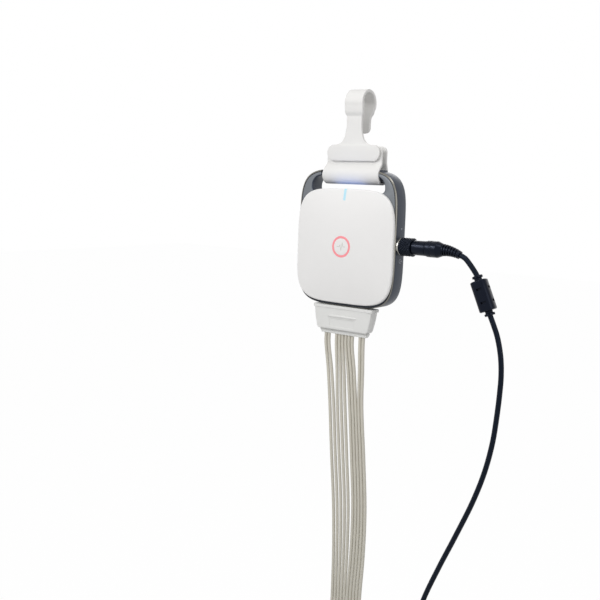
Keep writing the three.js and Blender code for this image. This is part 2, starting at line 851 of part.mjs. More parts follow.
function strainRelief() {
  const loops = [];
  const ribShares = [0, 0, 1, 1];
  const stations = ribShares.length * reliefRibs;
  for (let i = 0; i <= stations; i += 1) {
    const share = i / stations;
    const { x, z, slope } = reliefPlace(share);
    const taper = plugTaperRadius + (reliefEndRadius - plugTaperRadius) * share;
    const radius = taper - reliefRibDepth * ribShares[i % ribShares.length];
    loops.push(ringAcross(x, z, slope, radius, reliefFacets));
  }
  return skinLoops(loops);
}

// The computer's cable: one list of places for the free stretch, then a coil by formula

const reliefEnd = reliefPlace(1);
const ferriteSpan = Math.hypot(ferriteAcross, ferriteDown);
const ferriteAlong = (distance) => [
  ferriteX + distance * ferriteAcross / ferriteSpan,
  ferriteZ - distance * ferriteDown / ferriteSpan,
];
const reliefAlong = (distance) => [
  reliefEnd.x + distance * Math.cos(reliefEnd.slope),
  reliefEnd.z + distance * Math.sin(reliefEnd.slope),
];
const cableRoute = [
  reliefAlong(clearance),
  reliefAlong(clearance + cableDiameter),
  [117.2, -6.2],
  [120.7, -10.3],
  ferriteAlong(-ferriteLength / 2),
  ferriteAlong(0),
  ferriteAlong(ferriteLength / 2),
  [141.3, -53.4],
  [145.2, -62.6],
  [149.1, -78],
  [150.6, -93],
  [150.4, -108],
  [149.2, -128],
  [146.9, -150.6],
  [141.7, -176],
  [133.2, -202.7],
  [119.5, -236.3],
  [105.2, -269.5],
  [92.6, -301.5],
  [87.6, -320],
  [coilLeftX, -338],
  [coilLeftX, -350],
  [coilLeftX, coilMiddleZ + clearance],
];

function freeCable() {
  const places = cableRoute.map(([x, z]) => new THREE.Vector3(x, frameMiddleY, z));
  return new THREE.CatmullRomCurve3(places, false, 'centripetal');
}

function curveTube(curve, diameter, sides, stepLength) {
  return tube(curve, diameter / 2, sides, Math.ceil(curve.getLength() / stepLength));
}

const coilMiddleX = coilLeftX + coilOuterRadius;
const coilHalfTurns = coilTurns / 2;
const climbHalfShare = 0.25;

// Two layers: the front one spirals in, the back one out. The cable climbs from one to the
// other in the half turn where the spiral turns round.
function coilPlace(turn) {
  const inward = coilHalfTurns - Math.abs(turn - coilHalfTurns);
  const spread = coilHalfTurns / (coilHalfTurns - climbHalfShare);
  const radius = coilOuterRadius - coilPitch * Math.min(inward * spread, coilHalfTurns);
  const climb = THREE.MathUtils.smoothstep(
    turn, coilHalfTurns - climbHalfShare, coilHalfTurns + climbHalfShare);
  const angle = Math.PI + 2 * Math.PI * turn;
  return new THREE.Vector3(
    coilMiddleX + radius * Math.cos(angle),
    frameMiddleY + coilLayerPitch * climb,
    coilMiddleZ + radius * Math.sin(angle));
}

function coilPlaces() {
  const places = [];
  const steps = coilTurns * coilStepsPerTurn;
  for (let i = 0; i <= steps; i += 1) places.push(coilPlace(i / coilStepsPerTurn));
  for (const share of coilTailShares) {
    places.push(new THREE.Vector3(coilLeftX, frameMiddleY + coilLayerPitch, coilMiddleZ - coilTail * share));
  }
  return places;
}

// A loop of points square to a path at each place, carried along without twist
function pathTube(places, diameter, sides) {
  const loops = [];
  const count = places.length;
  let across = new THREE.Vector3(0, 1, 0);
  for (let i = 0; i < count; i += 1) {
    const along = places[Math.min(i + 1, count - 1)].clone().sub(places[Math.max(i - 1, 0)]).normalize();
    across = across.clone().addScaledVector(along, -across.dot(along)).normalize();
    const other = along.clone().cross(across);
    const loop = [];
    for (let k = 0; k < sides; k += 1) {
      const angle = 2 * Math.PI * k / sides;
      const point = places[i].clone();
      point.addScaledVector(across, diameter / 2 * Math.cos(angle));
      point.addScaledVector(other, diameter / 2 * Math.sin(angle));
      loop.push(point);
    }
    loops.push(loop);
  }
  return skinLoops(loops);
}

// Least gap between stretches of one tube that lie apart along it
function leastSelfGap(places, diameter) {
  const reach = [0];
  for (let i = 1; i < places.length; i += 1) reach.push(reach[i - 1] + places[i].distanceTo(places[i - 1]));
  let least = Infinity;
  for (let i = 0; i < places.length; i += 1) {
    for (let k = i + 1; k < places.length; k += 1) {
      if (reach[k] - reach[i] > selfGapReach) least = Math.min(least, places[i].distanceTo(places[k]));
    }
  }
  return least - diameter;
}

function pathLength(places) {
  return places.slice(1).reduce((sum, place, i) => sum + place.distanceTo(places[i]), 0);
}

// A flat tie round a bundle that runs along Z
function tieRing(halfWidth, halfDepth, wall, middleX, middleY, fromZ, toZ) {
  const outline = roundedBox(
    middleX - halfWidth - wall, middleX + halfWidth + wall,
    middleY - halfDepth - wall, middleY + halfDepth + wall, wall, wall);
  const outer = extrude(outline, toZ - fromZ).translate(0, 0, fromZ);
  const inner = box(
    middleX - halfWidth, middleX + halfWidth, middleY - halfDepth, middleY + halfDepth,
    fromZ - overrun, toZ + overrun);
  return geometryOf(solid(outer).subtract(solid(inner)));
}

function coilTie() {
  const innerRadius = coilOuterRadius - coilPitch * coilHalfTurns;
  const slack = cableDiameter / 2 + coilTieSlack;
  const halfWidth = (coilOuterRadius - innerRadius) / 2 + slack;
  const halfDepth = coilLayerPitch / 2 + slack - coilTieSlack / 2;
  return tieRing(
    halfWidth, halfDepth, coilTieWall, coilMiddleX + (coilOuterRadius + innerRadius) / 2,
    frameMiddleY + coilLayerPitch / 2, coilMiddleZ - coilTieHeight / 2, coilMiddleZ + coilTieHeight / 2);
}

function usbPlug() {
  const y = frameMiddleY + coilLayerPitch;
  const topZ = coilMiddleZ - coilTail - clearance;
  const bodyEndZ = topZ - usbBodyLength;
  const body = box(
    coilLeftX - usbBodyWidth / 2, coilLeftX + usbBodyWidth / 2,
    y - usbBodyDepth / 2, y + usbBodyDepth / 2, bodyEndZ, topZ);
  const tip = box(
    coilLeftX - usbTipWidth / 2, coilLeftX + usbTipWidth / 2,
    y - usbTipDepth / 2, y + usbTipDepth / 2, bodyEndZ - usbTipLength, bodyEndZ + usbTipDepth);
  return geometryOf(solid(body).add(solid(tip)));
}

// Snap-on ferrite: two collars and a slimmer neck at each end, open along its bore
function ferriteCase() {
  const end = ferriteLength / 2;
  const neck = end - ferriteCollar;
  const waistStep = (ferriteRadius - ferriteNeckRadius) / 2;
  const geometry = turnedY([
    [-end, ferriteBoreRadius], [-end, ferriteNeckRadius], [-neck - waistStep, ferriteNeckRadius],
    [-neck, ferriteRadius], [neck, ferriteRadius], [neck + waistStep, ferriteNeckRadius],
    [end, ferriteNeckRadius], [end, ferriteBoreRadius], [-end, ferriteBoreRadius],
  ], ferriteFacets);
  geometry.rotateX(Math.PI / 2);
  geometry.rotateY(-Math.atan2(ferriteAcross, ferriteDown));
  return geometry.translate(ferriteX, frameMiddleY, ferriteZ);
}

// Lead block: two shells that meet on the board's plane, with a pocket for the exit bar

const blockMiddleY = boardMiddleY;

// The side's curve as shares of its spread and of its height
const blockSideShares = [[0.45, 0.32], [0.8, 0.62]];

function blockOutline() {
  const height = blockTopZ - blockBottomZ;
  const spread = blockTopHalf - blockBottomHalf;
  const side = blockSideShares.map(([out, up]) => [
    blockBottomHalf + spread * out, blockBottomZ + height * up]);
  return mirrored([
    [blockBottomHalf - blockCorner, blockBottomZ],
    [blockBottomHalf, blockBottomZ + blockCorner / 2],
    ...side,
    [blockTopHalf, blockTopZ],
  ]);
}

function blockShell(fromY, toY, isFront) {
  const shellFrontY = isFront ? blockFrontY : fromY;
  let body = solid(alongY(polygon(blockOutline()), shellFrontY, toY));
  const lip = box(-lipHalf, lipHalf, fromY, isFront ? toY : toY + lipProud, blockTopZ - lipHeight, blockTopZ);
  body = body.add(solid(lip));
  if (!isFront) {
    const side = polygon([
      [fromY - overrun, blockTopZ + overrun], [blockBackY + lipProud + overrun, blockTopZ + overrun],
      [blockBackY + lipProud + overrun, blockTopZ - lipHeight], [blockBackY, blockTopZ - lipHeight],
      [blockBackY - blockBackTaper, blockBottomZ - overrun], [fromY - overrun, blockBottomZ - overrun],
    ]);
    body = body.intersect(solid(alongX(side, -lipHalf - overrun, lipHalf + overrun)));
    const tongue = box(
      -tongueHalf, tongueHalf, blockMiddleY - tongueHalfDepth, blockMiddleY + tongueHalfDepth,
      blockTopZ - tongueRoot, tongueTopZ);
    body = body.add(solid(tongue));
  } else {
    const ridge = box(-ridgeHalf, ridgeHalf, blockFrontY - ridgeProud, toY, ridgeZ - ridgeHeight, ridgeZ);
    const panel = box(
      -panelHalf, panelHalf, blockFrontY - overrun, blockFrontY + panelDepth, panelBottomZ, panelTopZ);
    const tongueSeat = box(
      -tongueHalf - clearance, tongueHalf + clearance, blockMiddleY - tongueHalfDepth - clearance,
      toY + overrun, blockTopZ - tongueRoot - clearance, blockTopZ + overrun);
    body = body.add(solid(ridge)).subtract(solid(panel)).subtract(solid(tongueSeat));
  }
  const pocket = box(
    -pocketHalf, pocketHalf, blockMiddleY - pocketHalfDepth, blockMiddleY + pocketHalfDepth,
    pocketBottomZ, pocketTopZ);
  const neck = box(
    -exitNeckHalf - clearance, exitNeckHalf + clearance, blockMiddleY - exitNeckHalfDepth - clearance,
    blockMiddleY + exitNeckHalfDepth + clearance, blockBottomZ - overrun, pocketBottomZ + clearance);
  return geometryOf(body.subtract(solid(pocket)).subtract(solid(neck)));
}

function exitBar() {
  const barTopZ = blockBottomZ - clearance;
  const flangeZ = pocketBottomZ + clearance;
  const bar = alongY(
    polygon(mirrored([[exitBarEndHalf, exitBarBottomZ], [exitBarHalf, barTopZ]])),
    blockMiddleY - exitBarHalfDepth, blockMiddleY + exitBarHalfDepth);
  const neck = box(
    -exitNeckHalf, exitNeckHalf, blockMiddleY - exitNeckHalfDepth, blockMiddleY + exitNeckHalfDepth,
    exitBarBottomZ + exitFlange, flangeZ + exitFlange);
  const flange = box(
    -pocketHalf + clearance, pocketHalf - clearance, blockMiddleY - pocketHalfDepth + clearance,
    blockMiddleY + pocketHalfDepth - clearance, flangeZ, flangeZ + exitFlange);
  return geometryOf(solid(bar).add(solid(neck)).add(solid(flange)));
}

// Patient leads. They leave the bar in groups of two, six and two, and hang as two bundles
// of five: each place on the way gives a bundle's middle and the pitch of its leads.

const leadCount = 10;
const bundleCount = 5;
const pairCount = 2;
const leadStations = [
  { z: -142, y: 9, middles: [-6.6, 13.5], pitches: [4.2, 3.3] },
  { z: -190, y: 10.8, middles: [-3.6, 16.8], pitches: [4.25, 3.35] },
  { z: -240, y: 12.5, middles: [-0.3, 19.7], pitches: [4.15, 3.35] },
  { z: -285, y: 14, middles: [0.3, 18.9], pitches: [3.8, 3.4] },
  { z: -322, y: leadHankY, middles: [-0.5, 16.6], pitches: [3.45, 3.4] },
  { z: leadHankTopZ, y: leadHankY, middles: [-0.5, 16.6], pitches: [3.45, 3.4] },
];

function leadExitX(index) {
  const side = index < bundleCount ? -1 : 1;
  const fromEnd = Math.min(index, leadCount - 1 - index);
  const apart = fromEnd === 0 ? leadExitPitch / 2 : -leadExitPitch / 2;
  if (fromEnd < pairCount) return side * (leadPairX + apart);
  return (index - (leadCount - 1) / 2) * leadExitPitch;
}

function bundlePlace(index, station) {
  const bundle = Math.floor(index / bundleCount);
  const order = index % bundleCount - (bundleCount - 1) / 2;
  return new THREE.Vector3(station.middles[bundle] + order * station.pitches[bundle], station.y, station.z);
}

function leadCurve(index) {
  const exitX = leadExitX(index);
  const startZ = exitBarBottomZ - clearance;
  const first = bundlePlace(index, leadStations[0]);
  const settleZ = (first.z + startZ) / 2;
  const places = [
    new THREE.Vector3(exitX, blockMiddleY, startZ),
    new THREE.Vector3(exitX, blockMiddleY, startZ - leadExitStraight),
    new THREE.Vector3((exitX + first.x) / 2, (blockMiddleY + first.y) / 2, settleZ),
    ...leadStations.map((station) => bundlePlace(index, station)),
  ];
  return new THREE.CatmullRomCurve3(places, false, 'centripetal');
}

// Hank: each bundle's row turns into a column of five layers, and the two columns run down,
// up and down again, drawn in at the waist, before the ends fan out to their plugs.

const hankStart = leadStations[leadStations.length - 1];
const hankRunX = (hankStart.middles[0] + hankStart.middles[1]) / 2;
const hankMiddleX = hankRunX + hankRunPitch;

function hankWaist(z) {
  const away = (z - hankWaistZ) / hankWaistReach;
  return 1 - (1 - hankWaistPitch / hankRunPitch) * Math.exp(-(away ** 2));
}

// Places along a run where the waist needs them, as shares of the waist's reach
const waistShares = [1.4, 0.35, -0.35, -1.4];
const leadStationCounts = { gather: 3, fold: 4, fan: 2 };

function evenShares(count) {
  return Array.from({ length: count }, (_, i) => (i + 1) / count);
}

function hankPlaces(index) {
  const bundle = Math.floor(index / bundleCount);
  const order = index % bundleCount - (bundleCount - 1) / 2;
  const side = bundle * 2 - 1;
  const layerY = leadHankY + order * hankLayerPitch;
  const column = side * hankColumnPitch / 2;
  const startGap = hankStart.middles[1] - hankStart.middles[0];
  const startZ = leadHankTopZ - clearance;
  const places = [new THREE.Vector3(bundlePlace(index, hankStart).x, leadHankY, startZ)];
  const straightZ = startZ - leadDiameter;
  for (const share of [0, ...evenShares(leadStationCounts.gather)]) {
    const turn = share * Math.PI / 2;
    const pitch = THREE.MathUtils.lerp(hankStart.pitches[bundle], hankLayerPitch, share);
    const gap = hankColumnPitch + (startGap - hankColumnPitch) * Math.cos(turn);
    places.push(new THREE.Vector3(
      hankRunX + side * gap / 2 + order * pitch * Math.cos(turn),
      leadHankY + order * pitch * Math.sin(turn),
      THREE.MathUtils.lerp(straightZ, hankGatherZ, share)));
  }
  const run = (offset, lane, toZ, upwards) => {
    const stations = waistShares.map((share) => hankWaistZ + share * hankWaistReach);
    if (upwards) stations.reverse();
    for (const z of [...stations, toZ]) {
      places.push(new THREE.Vector3(hankMiddleX + offset * hankWaist(z) + lane, layerY, z));
    }
  };
  const fold = (middleX, middleZ, radius, startAngle, sweep) => {
    for (const share of evenShares(leadStationCounts.fold)) {
      const angle = startAngle + sweep * share;
      places.push(new THREE.Vector3(
        middleX + radius * Math.cos(angle), layerY, middleZ + radius * Math.sin(angle)));
    }
  };
  const half = hankRunPitch / 2;
  run(-hankRunPitch, column, hankBottomZ, false);
  fold(hankMiddleX - half, hankBottomZ, half - column, Math.PI, Math.PI);
  run(0, -column, hankTopFoldZ, true);
  fold(hankMiddleX + half, hankTopFoldZ, half + column, Math.PI, -Math.PI);
  run(hankRunPitch, column, hankFanZ, false);
  for (const share of evenShares(leadStationCounts.fan)) {
    const eased = THREE.MathUtils.smoothstep(share, 0, 1);
    places.push(new THREE.Vector3(
      hankMiddleX + hankRunPitch + side * THREE.MathUtils.lerp(hankColumnPitch, fanColumnPitch, eased) / 2,
      leadHankY + order * THREE.MathUtils.lerp(hankLayerPitch, fanLayerPitch, eased),
      THREE.MathUtils.lerp(hankFanZ, hankEndZ + leadDiameter, share)));
  }
  const last = places[places.length - 1];
  places.push(new THREE.Vector3(last.x, last.y, hankEndZ));
  return places;
}

function leadTie() {
  const reach = hankRunPitch * hankWaist(hankWaistZ + waistShares[1] * hankWaistReach);
  const slack = leadDiameter / 2 + leadTieSlack;
  const halfWidth = reach + hankColumnPitch / 2 + slack;
  const halfDepth = hankLayerPitch * (bundleCount - 1) / 2 + slack - leadTieSlack / 2;
  return tieRing(
    halfWidth, halfDepth, leadTieWall, hankMiddleX, leadHankY,
    hankWaistZ - leadTieHeight / 2, hankWaistZ + leadTieHeight / 2);
}

function leadPlug(index) {
  const places = hankPlaces(index);
  const { x, y } = places[places.length - 1];
  const pinEnd = leadPlugLength + leadPinLength;
  const profile = [
    [0, 0], [0, leadPlugNeckRadius], [leadPlugTaper, leadPlugRadius], [leadPlugLength, leadPlugRadius],
    [leadPlugLength, leadPinRadius], [pinEnd, leadPinTipRadius], [pinEnd, 0],
  ];
  return turnedY(profile, leadPlugFacets).rotateX(-Math.PI / 2).translate(x, y, hankEndZ - clearance);
}

// Strap and band: a ribbon in the plane of Y and Z, carried across the strap's width and
// cut to its outline seen from the front

function ribbon(places, thickness, steps) {
  const curve = new THREE.CatmullRomCurve3(
    places.map(([y, z]) => new THREE.Vector3(y, z, 0)), false, 'centripetal');
  const left = [];
  const right = [];
  for (let i = 0; i <= steps; i += 1) {
    const point = curve.getPointAt(i / steps);
    const along = curve.getTangentAt(i / steps);
    left.push([point.x - along.y * thickness / 2, point.y + along.x * thickness / 2]);
    right.push([point.x + along.y * thickness / 2, point.y - along.x * thickness / 2]);
  }
  return polygon([...left, ...right.reverse()]);
}

function arcPlaces(middleY, middleZ, radius, { fromDegrees, toDegrees, count }) {
  const places = [];
  for (let i = 0; i <= count; i += 1) {
    const angle = THREE.MathUtils.degToRad(fromDegrees + (toDegrees - fromDegrees) * i / count);
    places.push([middleY + radius * Math.cos(angle), middleZ + radius * Math.sin(angle)]);
  }
  return places;
}

function strapOutline() {
  const end = tabHeight / 2;
  const tabMiddleZ = tabBottomZ + end;
  const tabTopZ = tabBottomZ + tabHeight;
  const topZ = loopMiddleZ + loopOuterRadius + overrun;
  const shape = new THREE.Shape();
  shape.moveTo(-tabHalfWidth + end, tabBottomZ);
  shape.absarc(tabHalfWidth - end, tabMiddleZ, end, -Math.PI / 2, Math.PI / 2);
  shape.lineTo(neckFilletX, tabTopZ);
  shape.quadraticCurveTo(neckHalfWidth, tabTopZ, neckHalfWidth, neckFilletZ);
  shape.lineTo(neckHalfWidth, neckEndZ);
  shape.lineTo(loopHalfWidth, loopStartZ);
  shape.lineTo(loopHalfWidth, topZ);
  shape.lineTo(-loopHalfWidth, topZ);
  shape.lineTo(-loopHalfWidth, loopStartZ);
  shape.lineTo(-neckHalfWidth, neckEndZ);
  shape.lineTo(-neckHalfWidth, neckFilletZ);
  shape.quadraticCurveTo(-neckHalfWidth, tabTopZ, -neckFilletX, tabTopZ);
  shape.absarc(-tabHalfWidth + end, tabMiddleZ, end, Math.PI / 2, 3 * Math.PI / 2);
  return shape;
}

function hangerStrap() {
  const neckY = neckFrontY + strapThickness / 2;
  const tongueY = tongueRearY - strapThickness / 2;
  const radius = loopOuterRadius - strapThickness / 2;
  const places = [
    [neckY, tabBottomZ - overrun],
    [neckY, tabBottomZ + tabHeight],
    [neckY, neckEndZ - strapThickness],
    ...arcPlaces(loopMiddleY, loopMiddleZ, radius, loopArc),
    [tongueY, neckEndZ - strapThickness],
    [tongueY, tongueEndZ],
  ];
  const reach = tabHalfWidth + overrun;
  const profile = alongX(ribbon(places, strapThickness, ribbonSteps), -reach, reach);
  const front = alongY(strapOutline(), neckFrontY - loopOuterRadius, tongueRearY + loopOuterRadius);
  let body = solid(profile).intersect(solid(front));
  const tabRearY = neckFrontY + tabThickness;
  const thinning = box(
    -reach, reach, tabRearY, tabRearY + overrun, tabBottomZ - overrun, tabBottomZ + tabHeight);
  body = body.subtract(solid(thinning));
  const headY = bandRearY + bandThickness / 2 + clearance;
  for (const side of [-1, 1]) {
    const stud = turnedY([
      [neckFrontY + tabThickness / 2, 0], [neckFrontY + tabThickness / 2, studRadius], [headY, studRadius],
      [headY, studHeadRadius], [headY + studHeadHeight / 2, studHeadRadius],
      [headY + studHeadHeight, studRadius], [headY + studHeadHeight, 0],
    ], boreFacets);
    body = body.add(solid(stud.translate(side * studX, 0, tabBottomZ + tabHeight / 2)));
  }
  return geometryOf(body).translate(strapShift, 0, 0);
}

function bandOutline() {
  const shape = new THREE.Shape();
  const lowZ = gripMiddleZ - bandRadius - bandThickness - overrun;
  shape.moveTo(-bandLowHalfWidth, lowZ);
  shape.lineTo(bandLowHalfWidth, lowZ);
  shape.lineTo(bandLowHalfWidth, gripMiddleZ);
  shape.lineTo(bandHalfWidth, tabBottomZ);
  const cornerX = bandHalfWidth - bandCornerRadius;
  const cornerZ = bandTopZ - bandCornerRadius;
  shape.absarc(cornerX, cornerZ, bandCornerRadius, 0, Math.PI / 2);
  shape.absarc(-cornerX, cornerZ, bandCornerRadius, Math.PI / 2, Math.PI);
  shape.lineTo(-bandHalfWidth, tabBottomZ);
  shape.lineTo(-bandLowHalfWidth, gripMiddleZ);
  return shape;
}

// How far the band's layers are from their places behind the tab where they bend to the
// ring, forward or back and then below the tab's lower edge, as shares of the thickness
const bandFrontShares = [[0.05, 0.3], [0.35, 1.45], [1.2, 2.45]];
const bandRearShares = [[0.4, 2.6], [0.05, 0.6]];

function wrapBand() {
  const bend = (layerY, sign) => ([across, down]) => [
    layerY + sign * bandThickness * across, tabBottomZ - bandThickness * down];
  const places = [
    [bandFrontY, bandFrontTopZ],
    [bandFrontY, tabBottomZ + bandThickness],
    ...bandFrontShares.map(bend(bandFrontY, -1)),
    ...arcPlaces(gripMiddleY, gripMiddleZ, bandRadius, bandArc),
    ...bandRearShares.map(bend(bandRearY, 1)),
    [bandRearY, tabBottomZ + bandThickness],
    [bandRearY, bandTopZ],
  ];
  const reach = bandLowHalfWidth + overrun;
  const depth = bandRadius + bandThickness + gripBack;
  const profile = alongX(ribbon(places, bandThickness, ribbonSteps), -reach, reach);
  const front = alongY(bandOutline(), frameMiddleY - depth, frameMiddleY + depth);
  let body = solid(profile).intersect(solid(front));
  for (const side of [-1, 1]) {
    const hole = rodY(studRadius + clearance, neckFrontY, bandRearY + bandRadius);
    body = body.subtract(solid(hole.translate(side * studX, 0, tabBottomZ + tabHeight / 2)));
  }
  return geometryOf(body).translate(strapShift, 0, 0);
}

// Finishes

function finish(color, roughness, metalness = 0) {
  return new THREE.MeshStandardMaterial({ color, roughness, metalness });
}

const finishes = {
  silicone: finish('#ebebe9', 0.6),
  darkFrame: finish('#50555d', 0.45, 0.3),
  brightTrim: finish('#b9b7b1', 0.25, 0.9),
  whiteShell: finish('#eae9e8', 0.35),
  blueLight: finish('#bfe8f5', 0.3),
  redLight: finish('#f99ba0', 0.3),
  greyBack: finish('#55585e', 0.5),
  steel: finish('#c9cacc', 0.25, 0.95),
  board: finish('#2c5a43', 0.5),
  blackPlastic: finish('#292d35', 0.5),
  blockShell: finish('#d8d8d6', 0.5),
  leadJacket: finish('#c4c0b6', 0.55),
  cableJacket: finish('#272a36', 0.55),
};

// Assembly

const machine = new THREE.Group();

function addPiece(name, geometry, material) {
  const mesh = new THREE.Mesh(closedMesh(geometry), material);
  mesh.name = name;
  machine.add(mesh);
}

addPiece('hanger_strap', hangerStrap(), finishes.silicone);
addPiece('wrap_band', wrapBand(), finishes.silicone);
addPiece('frame', frameSolid(), finishes.darkFrame);
addPiece('edge_trim', edgeTrim(), finishes.brightTrim);
addPiece('front_cover', coverSolid(), finishes.whiteShell);
addPiece('light_bar', lightBar(), finishes.blueLight);
addPiece('start_button', startButton(), finishes.whiteShell);
addPiece('button_light_ring', buttonRing(), finishes.redLight);
addPiece('button_switch', buttonSwitch(), finishes.blackPlastic);
addPiece('back_cover', backCover(), finishes.greyBack);
bossPlaces.forEach((place, i) => addPiece(`back_screw_${i + 1}`, backScrew(place), finishes.steel));
addPiece('main_board', mainBoard(), finishes.board);
addPiece('shield_can', shieldCan(), finishes.steel);
addPiece('lead_socket', leadSocket(), finishes.blackPlastic);
addPiece('port_socket', portSocket(), finishes.steel);
addPiece('plug_body', plugBody(), finishes.blackPlastic);
addPiece('lock_ring', lockRing(), finishes.blackPlastic);
addPiece('plug_strain_relief', strainRelief(), finishes.blackPlastic);
const cableTube = curveTube(freeCable(), cableDiameter, cableSides, cableStepLength);
addPiece('power_cable', cableTube, finishes.cableJacket);
addPiece('ferrite_case', ferriteCase(), finishes.blackPlastic);
addPiece('cable_coil', pathTube(coilPlaces(), cableDiameter, coilSides), finishes.cableJacket);
addPiece('coil_tie', coilTie(), finishes.blackPlastic);
addPiece('usb_plug', usbPlug(), finishes.blackPlastic);
const seamY = [blockMiddleY - clearance / 2, blockMiddleY + clearance / 2];
addPiece('lead_block_front', blockShell(blockFrontY - lipProud, seamY[0], true), finishes.blockShell);
addPiece('lead_block_back', blockShell(seamY[1], blockBackY, false), finishes.blockShell);
addPiece('lead_exit_bar', exitBar(), finishes.blockShell);
addPiece('lead_tie', leadTie(), finishes.blackPlastic);
for (let i = 0; i < leadCount; i += 1) {
  const number = i + 1;
  const leadTube = curveTube(leadCurve(i), leadDiameter, cableSides, leadStepLength);
  addPiece(`lead_${number}`, leadTube, finishes.leadJacket);
  addPiece(`lead_fold_${number}`, pathTube(hankPlaces(i), leadDiameter, coilSides), finishes.leadJacket);
  addPiece(`lead_plug_${number}`, leadPlug(i), finishes.blockShell);
}

const railZ = loopMiddleZ + loopOuterRadius - strapThickness - railDiameter / 2;
machine.position.set(-strapShift, -loopMiddleY, -railZ);

console.log('least gap of the cable coil to itself', leastSelfGap(coilPlaces(), cableDiameter).toFixed(2));
const foldGaps = Array.from({ length: leadCount }, (_, i) => leastSelfGap(hankPlaces(i), leadDiameter));
console.log('least gap of a lead fold to itself', Math.min(...foldGaps).toFixed(2));
console.log('cable length', (freeCable().getLength() + pathLength(coilPlaces())).toFixed(0));
for (let i = 0; i < leadCount; i += 1) {
  console.log('lead', i + 1, 'length', (leadCurve(i).getLength() + pathLength(hankPlaces(i))).toFixed(0));
}

export default machine;
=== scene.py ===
# %% [markdown]
# This lesson dresses a recorder that hangs from a rail: a crowned white cover in a dark
# frame, a silicone hanger, a plug with its cable, and ten patient leads. The measured
# model is loaded first, because every piece made here goes where that model says.
# %% Load the measured model
import math

import bmesh
import bpy
import numpy as np
from mathutils import Matrix, Vector
from mathutils.geometry import tessellate_polygon


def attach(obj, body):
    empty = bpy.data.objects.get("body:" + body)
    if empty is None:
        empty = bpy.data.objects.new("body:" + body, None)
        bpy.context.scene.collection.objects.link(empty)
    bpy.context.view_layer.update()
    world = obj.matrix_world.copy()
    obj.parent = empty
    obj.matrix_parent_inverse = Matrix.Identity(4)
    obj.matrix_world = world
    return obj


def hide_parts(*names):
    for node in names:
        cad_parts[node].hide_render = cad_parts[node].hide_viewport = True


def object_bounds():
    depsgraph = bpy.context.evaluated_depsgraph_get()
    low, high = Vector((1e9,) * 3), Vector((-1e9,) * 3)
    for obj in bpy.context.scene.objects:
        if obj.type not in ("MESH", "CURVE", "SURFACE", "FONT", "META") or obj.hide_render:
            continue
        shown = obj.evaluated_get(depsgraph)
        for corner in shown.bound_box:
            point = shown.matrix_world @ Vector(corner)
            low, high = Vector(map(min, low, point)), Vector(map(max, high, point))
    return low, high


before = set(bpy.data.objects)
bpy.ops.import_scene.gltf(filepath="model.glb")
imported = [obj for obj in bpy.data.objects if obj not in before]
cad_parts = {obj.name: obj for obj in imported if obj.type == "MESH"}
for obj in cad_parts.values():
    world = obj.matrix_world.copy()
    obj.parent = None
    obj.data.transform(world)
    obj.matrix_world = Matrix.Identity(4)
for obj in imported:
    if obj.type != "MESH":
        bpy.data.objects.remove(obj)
cad_box = [list(corner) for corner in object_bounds()]
print("nodes loaded:", len(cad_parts))

# %% [markdown]
# Sizes are written in millimetres from the middle of the cover, the way the maker's
# drawing would give them. One function moves them into the model's frame, whose origin
# is the rail in the hanger's loop, and turns them into metres.
# %% Millimetres to metres
MM = 0.001
RAIL_FROM_COVER = np.array([1.2, 14.95, 131.1])


def place(points):
    """A drawing's point in the model's frame: (point - rail) / 1000."""
    return (np.asarray(points, float) - RAIL_FROM_COVER) * MM


# %% [markdown]
# The camera stands to the right of the recorder and looks a little down, with a slight
# roll. Its place and angles were worked out from the outline of the cover and frame.
# %% Camera
CAMERA_PLACE = np.array([439.85, -656.33, 56.3])
CAMERA_YAW = math.radians(36.53)
CAMERA_PITCH = math.radians(7.59)
CAMERA_ROLL = math.radians(2.01)
CAMERA_LENS = 53.76
CAMERA_SENSOR = 36
CAMERA_CLIP_MM = 10

forward = Vector((
    -math.sin(CAMERA_YAW) * math.cos(CAMERA_PITCH),
    math.cos(CAMERA_YAW) * math.cos(CAMERA_PITCH),
    -math.sin(CAMERA_PITCH)))
level_right = Vector((math.cos(CAMERA_YAW), math.sin(CAMERA_YAW), 0))
level_up = level_right.cross(forward)
right = math.cos(CAMERA_ROLL) * level_right + math.sin(CAMERA_ROLL) * level_up
up = -math.sin(CAMERA_ROLL) * level_right + math.cos(CAMERA_ROLL) * level_up
camera_data = bpy.data.cameras.new("camera")
camera_data.lens = CAMERA_LENS
camera_data.sensor_width = CAMERA_SENSOR
camera_data.clip_start = CAMERA_CLIP_MM * MM
camera = bpy.data.objects.new("camera", camera_data)
turn = Matrix((right, up, -forward)).transposed().to_4x4()
camera.matrix_world = Matrix.Translation(Vector(place(CAMERA_PLACE))) @ turn
bpy.context.collection.objects.link(camera)
bpy.context.scene.camera = camera
print("camera at", [round(v, 3) for v in camera.location])

# %% [markdown]
# A surface's colour is picked on a screen, so it is an sRGB hex value, and the shader
# wants linear light. One function turns the first into the second. A second one adds a
# node with its settings and links, and every material below is built with it.
# %% Colour and node helpers


def linear(code):
    """sRGB to linear light: c / 12.92 in the dark, else ((c + 0.055) / 1.055) ** 2.4."""
    c = np.array([int(code[i:i + 2], 16) for i in (1, 3, 5)]) / 255
    light = np.where(c <= 0.04045, c / 12.92, ((c + 0.055) / 1.055) ** 2.4)
    return (*light.tolist(), 1.0)


def add_node(tree, kind, sockets=None, **settings):
    """Adds a node; a socket takes a value, or is linked to the output that it is given."""
    new = tree.nodes.new(kind)
    for key, value in settings.items():
        setattr(new, key, value)
    for key, value in (sockets or {}).items():
        if isinstance(value, bpy.types.NodeSocket):
            tree.links.new(value, new.inputs[key])
        else:
            new.inputs[key].default_value = value
    return new


def empty_material(name):
    """A material with no nodes yet, and its tree."""
    material = bpy.data.materials.new(name)
    material.use_nodes = True
    material.node_tree.nodes.clear()
    return material, material.node_tree


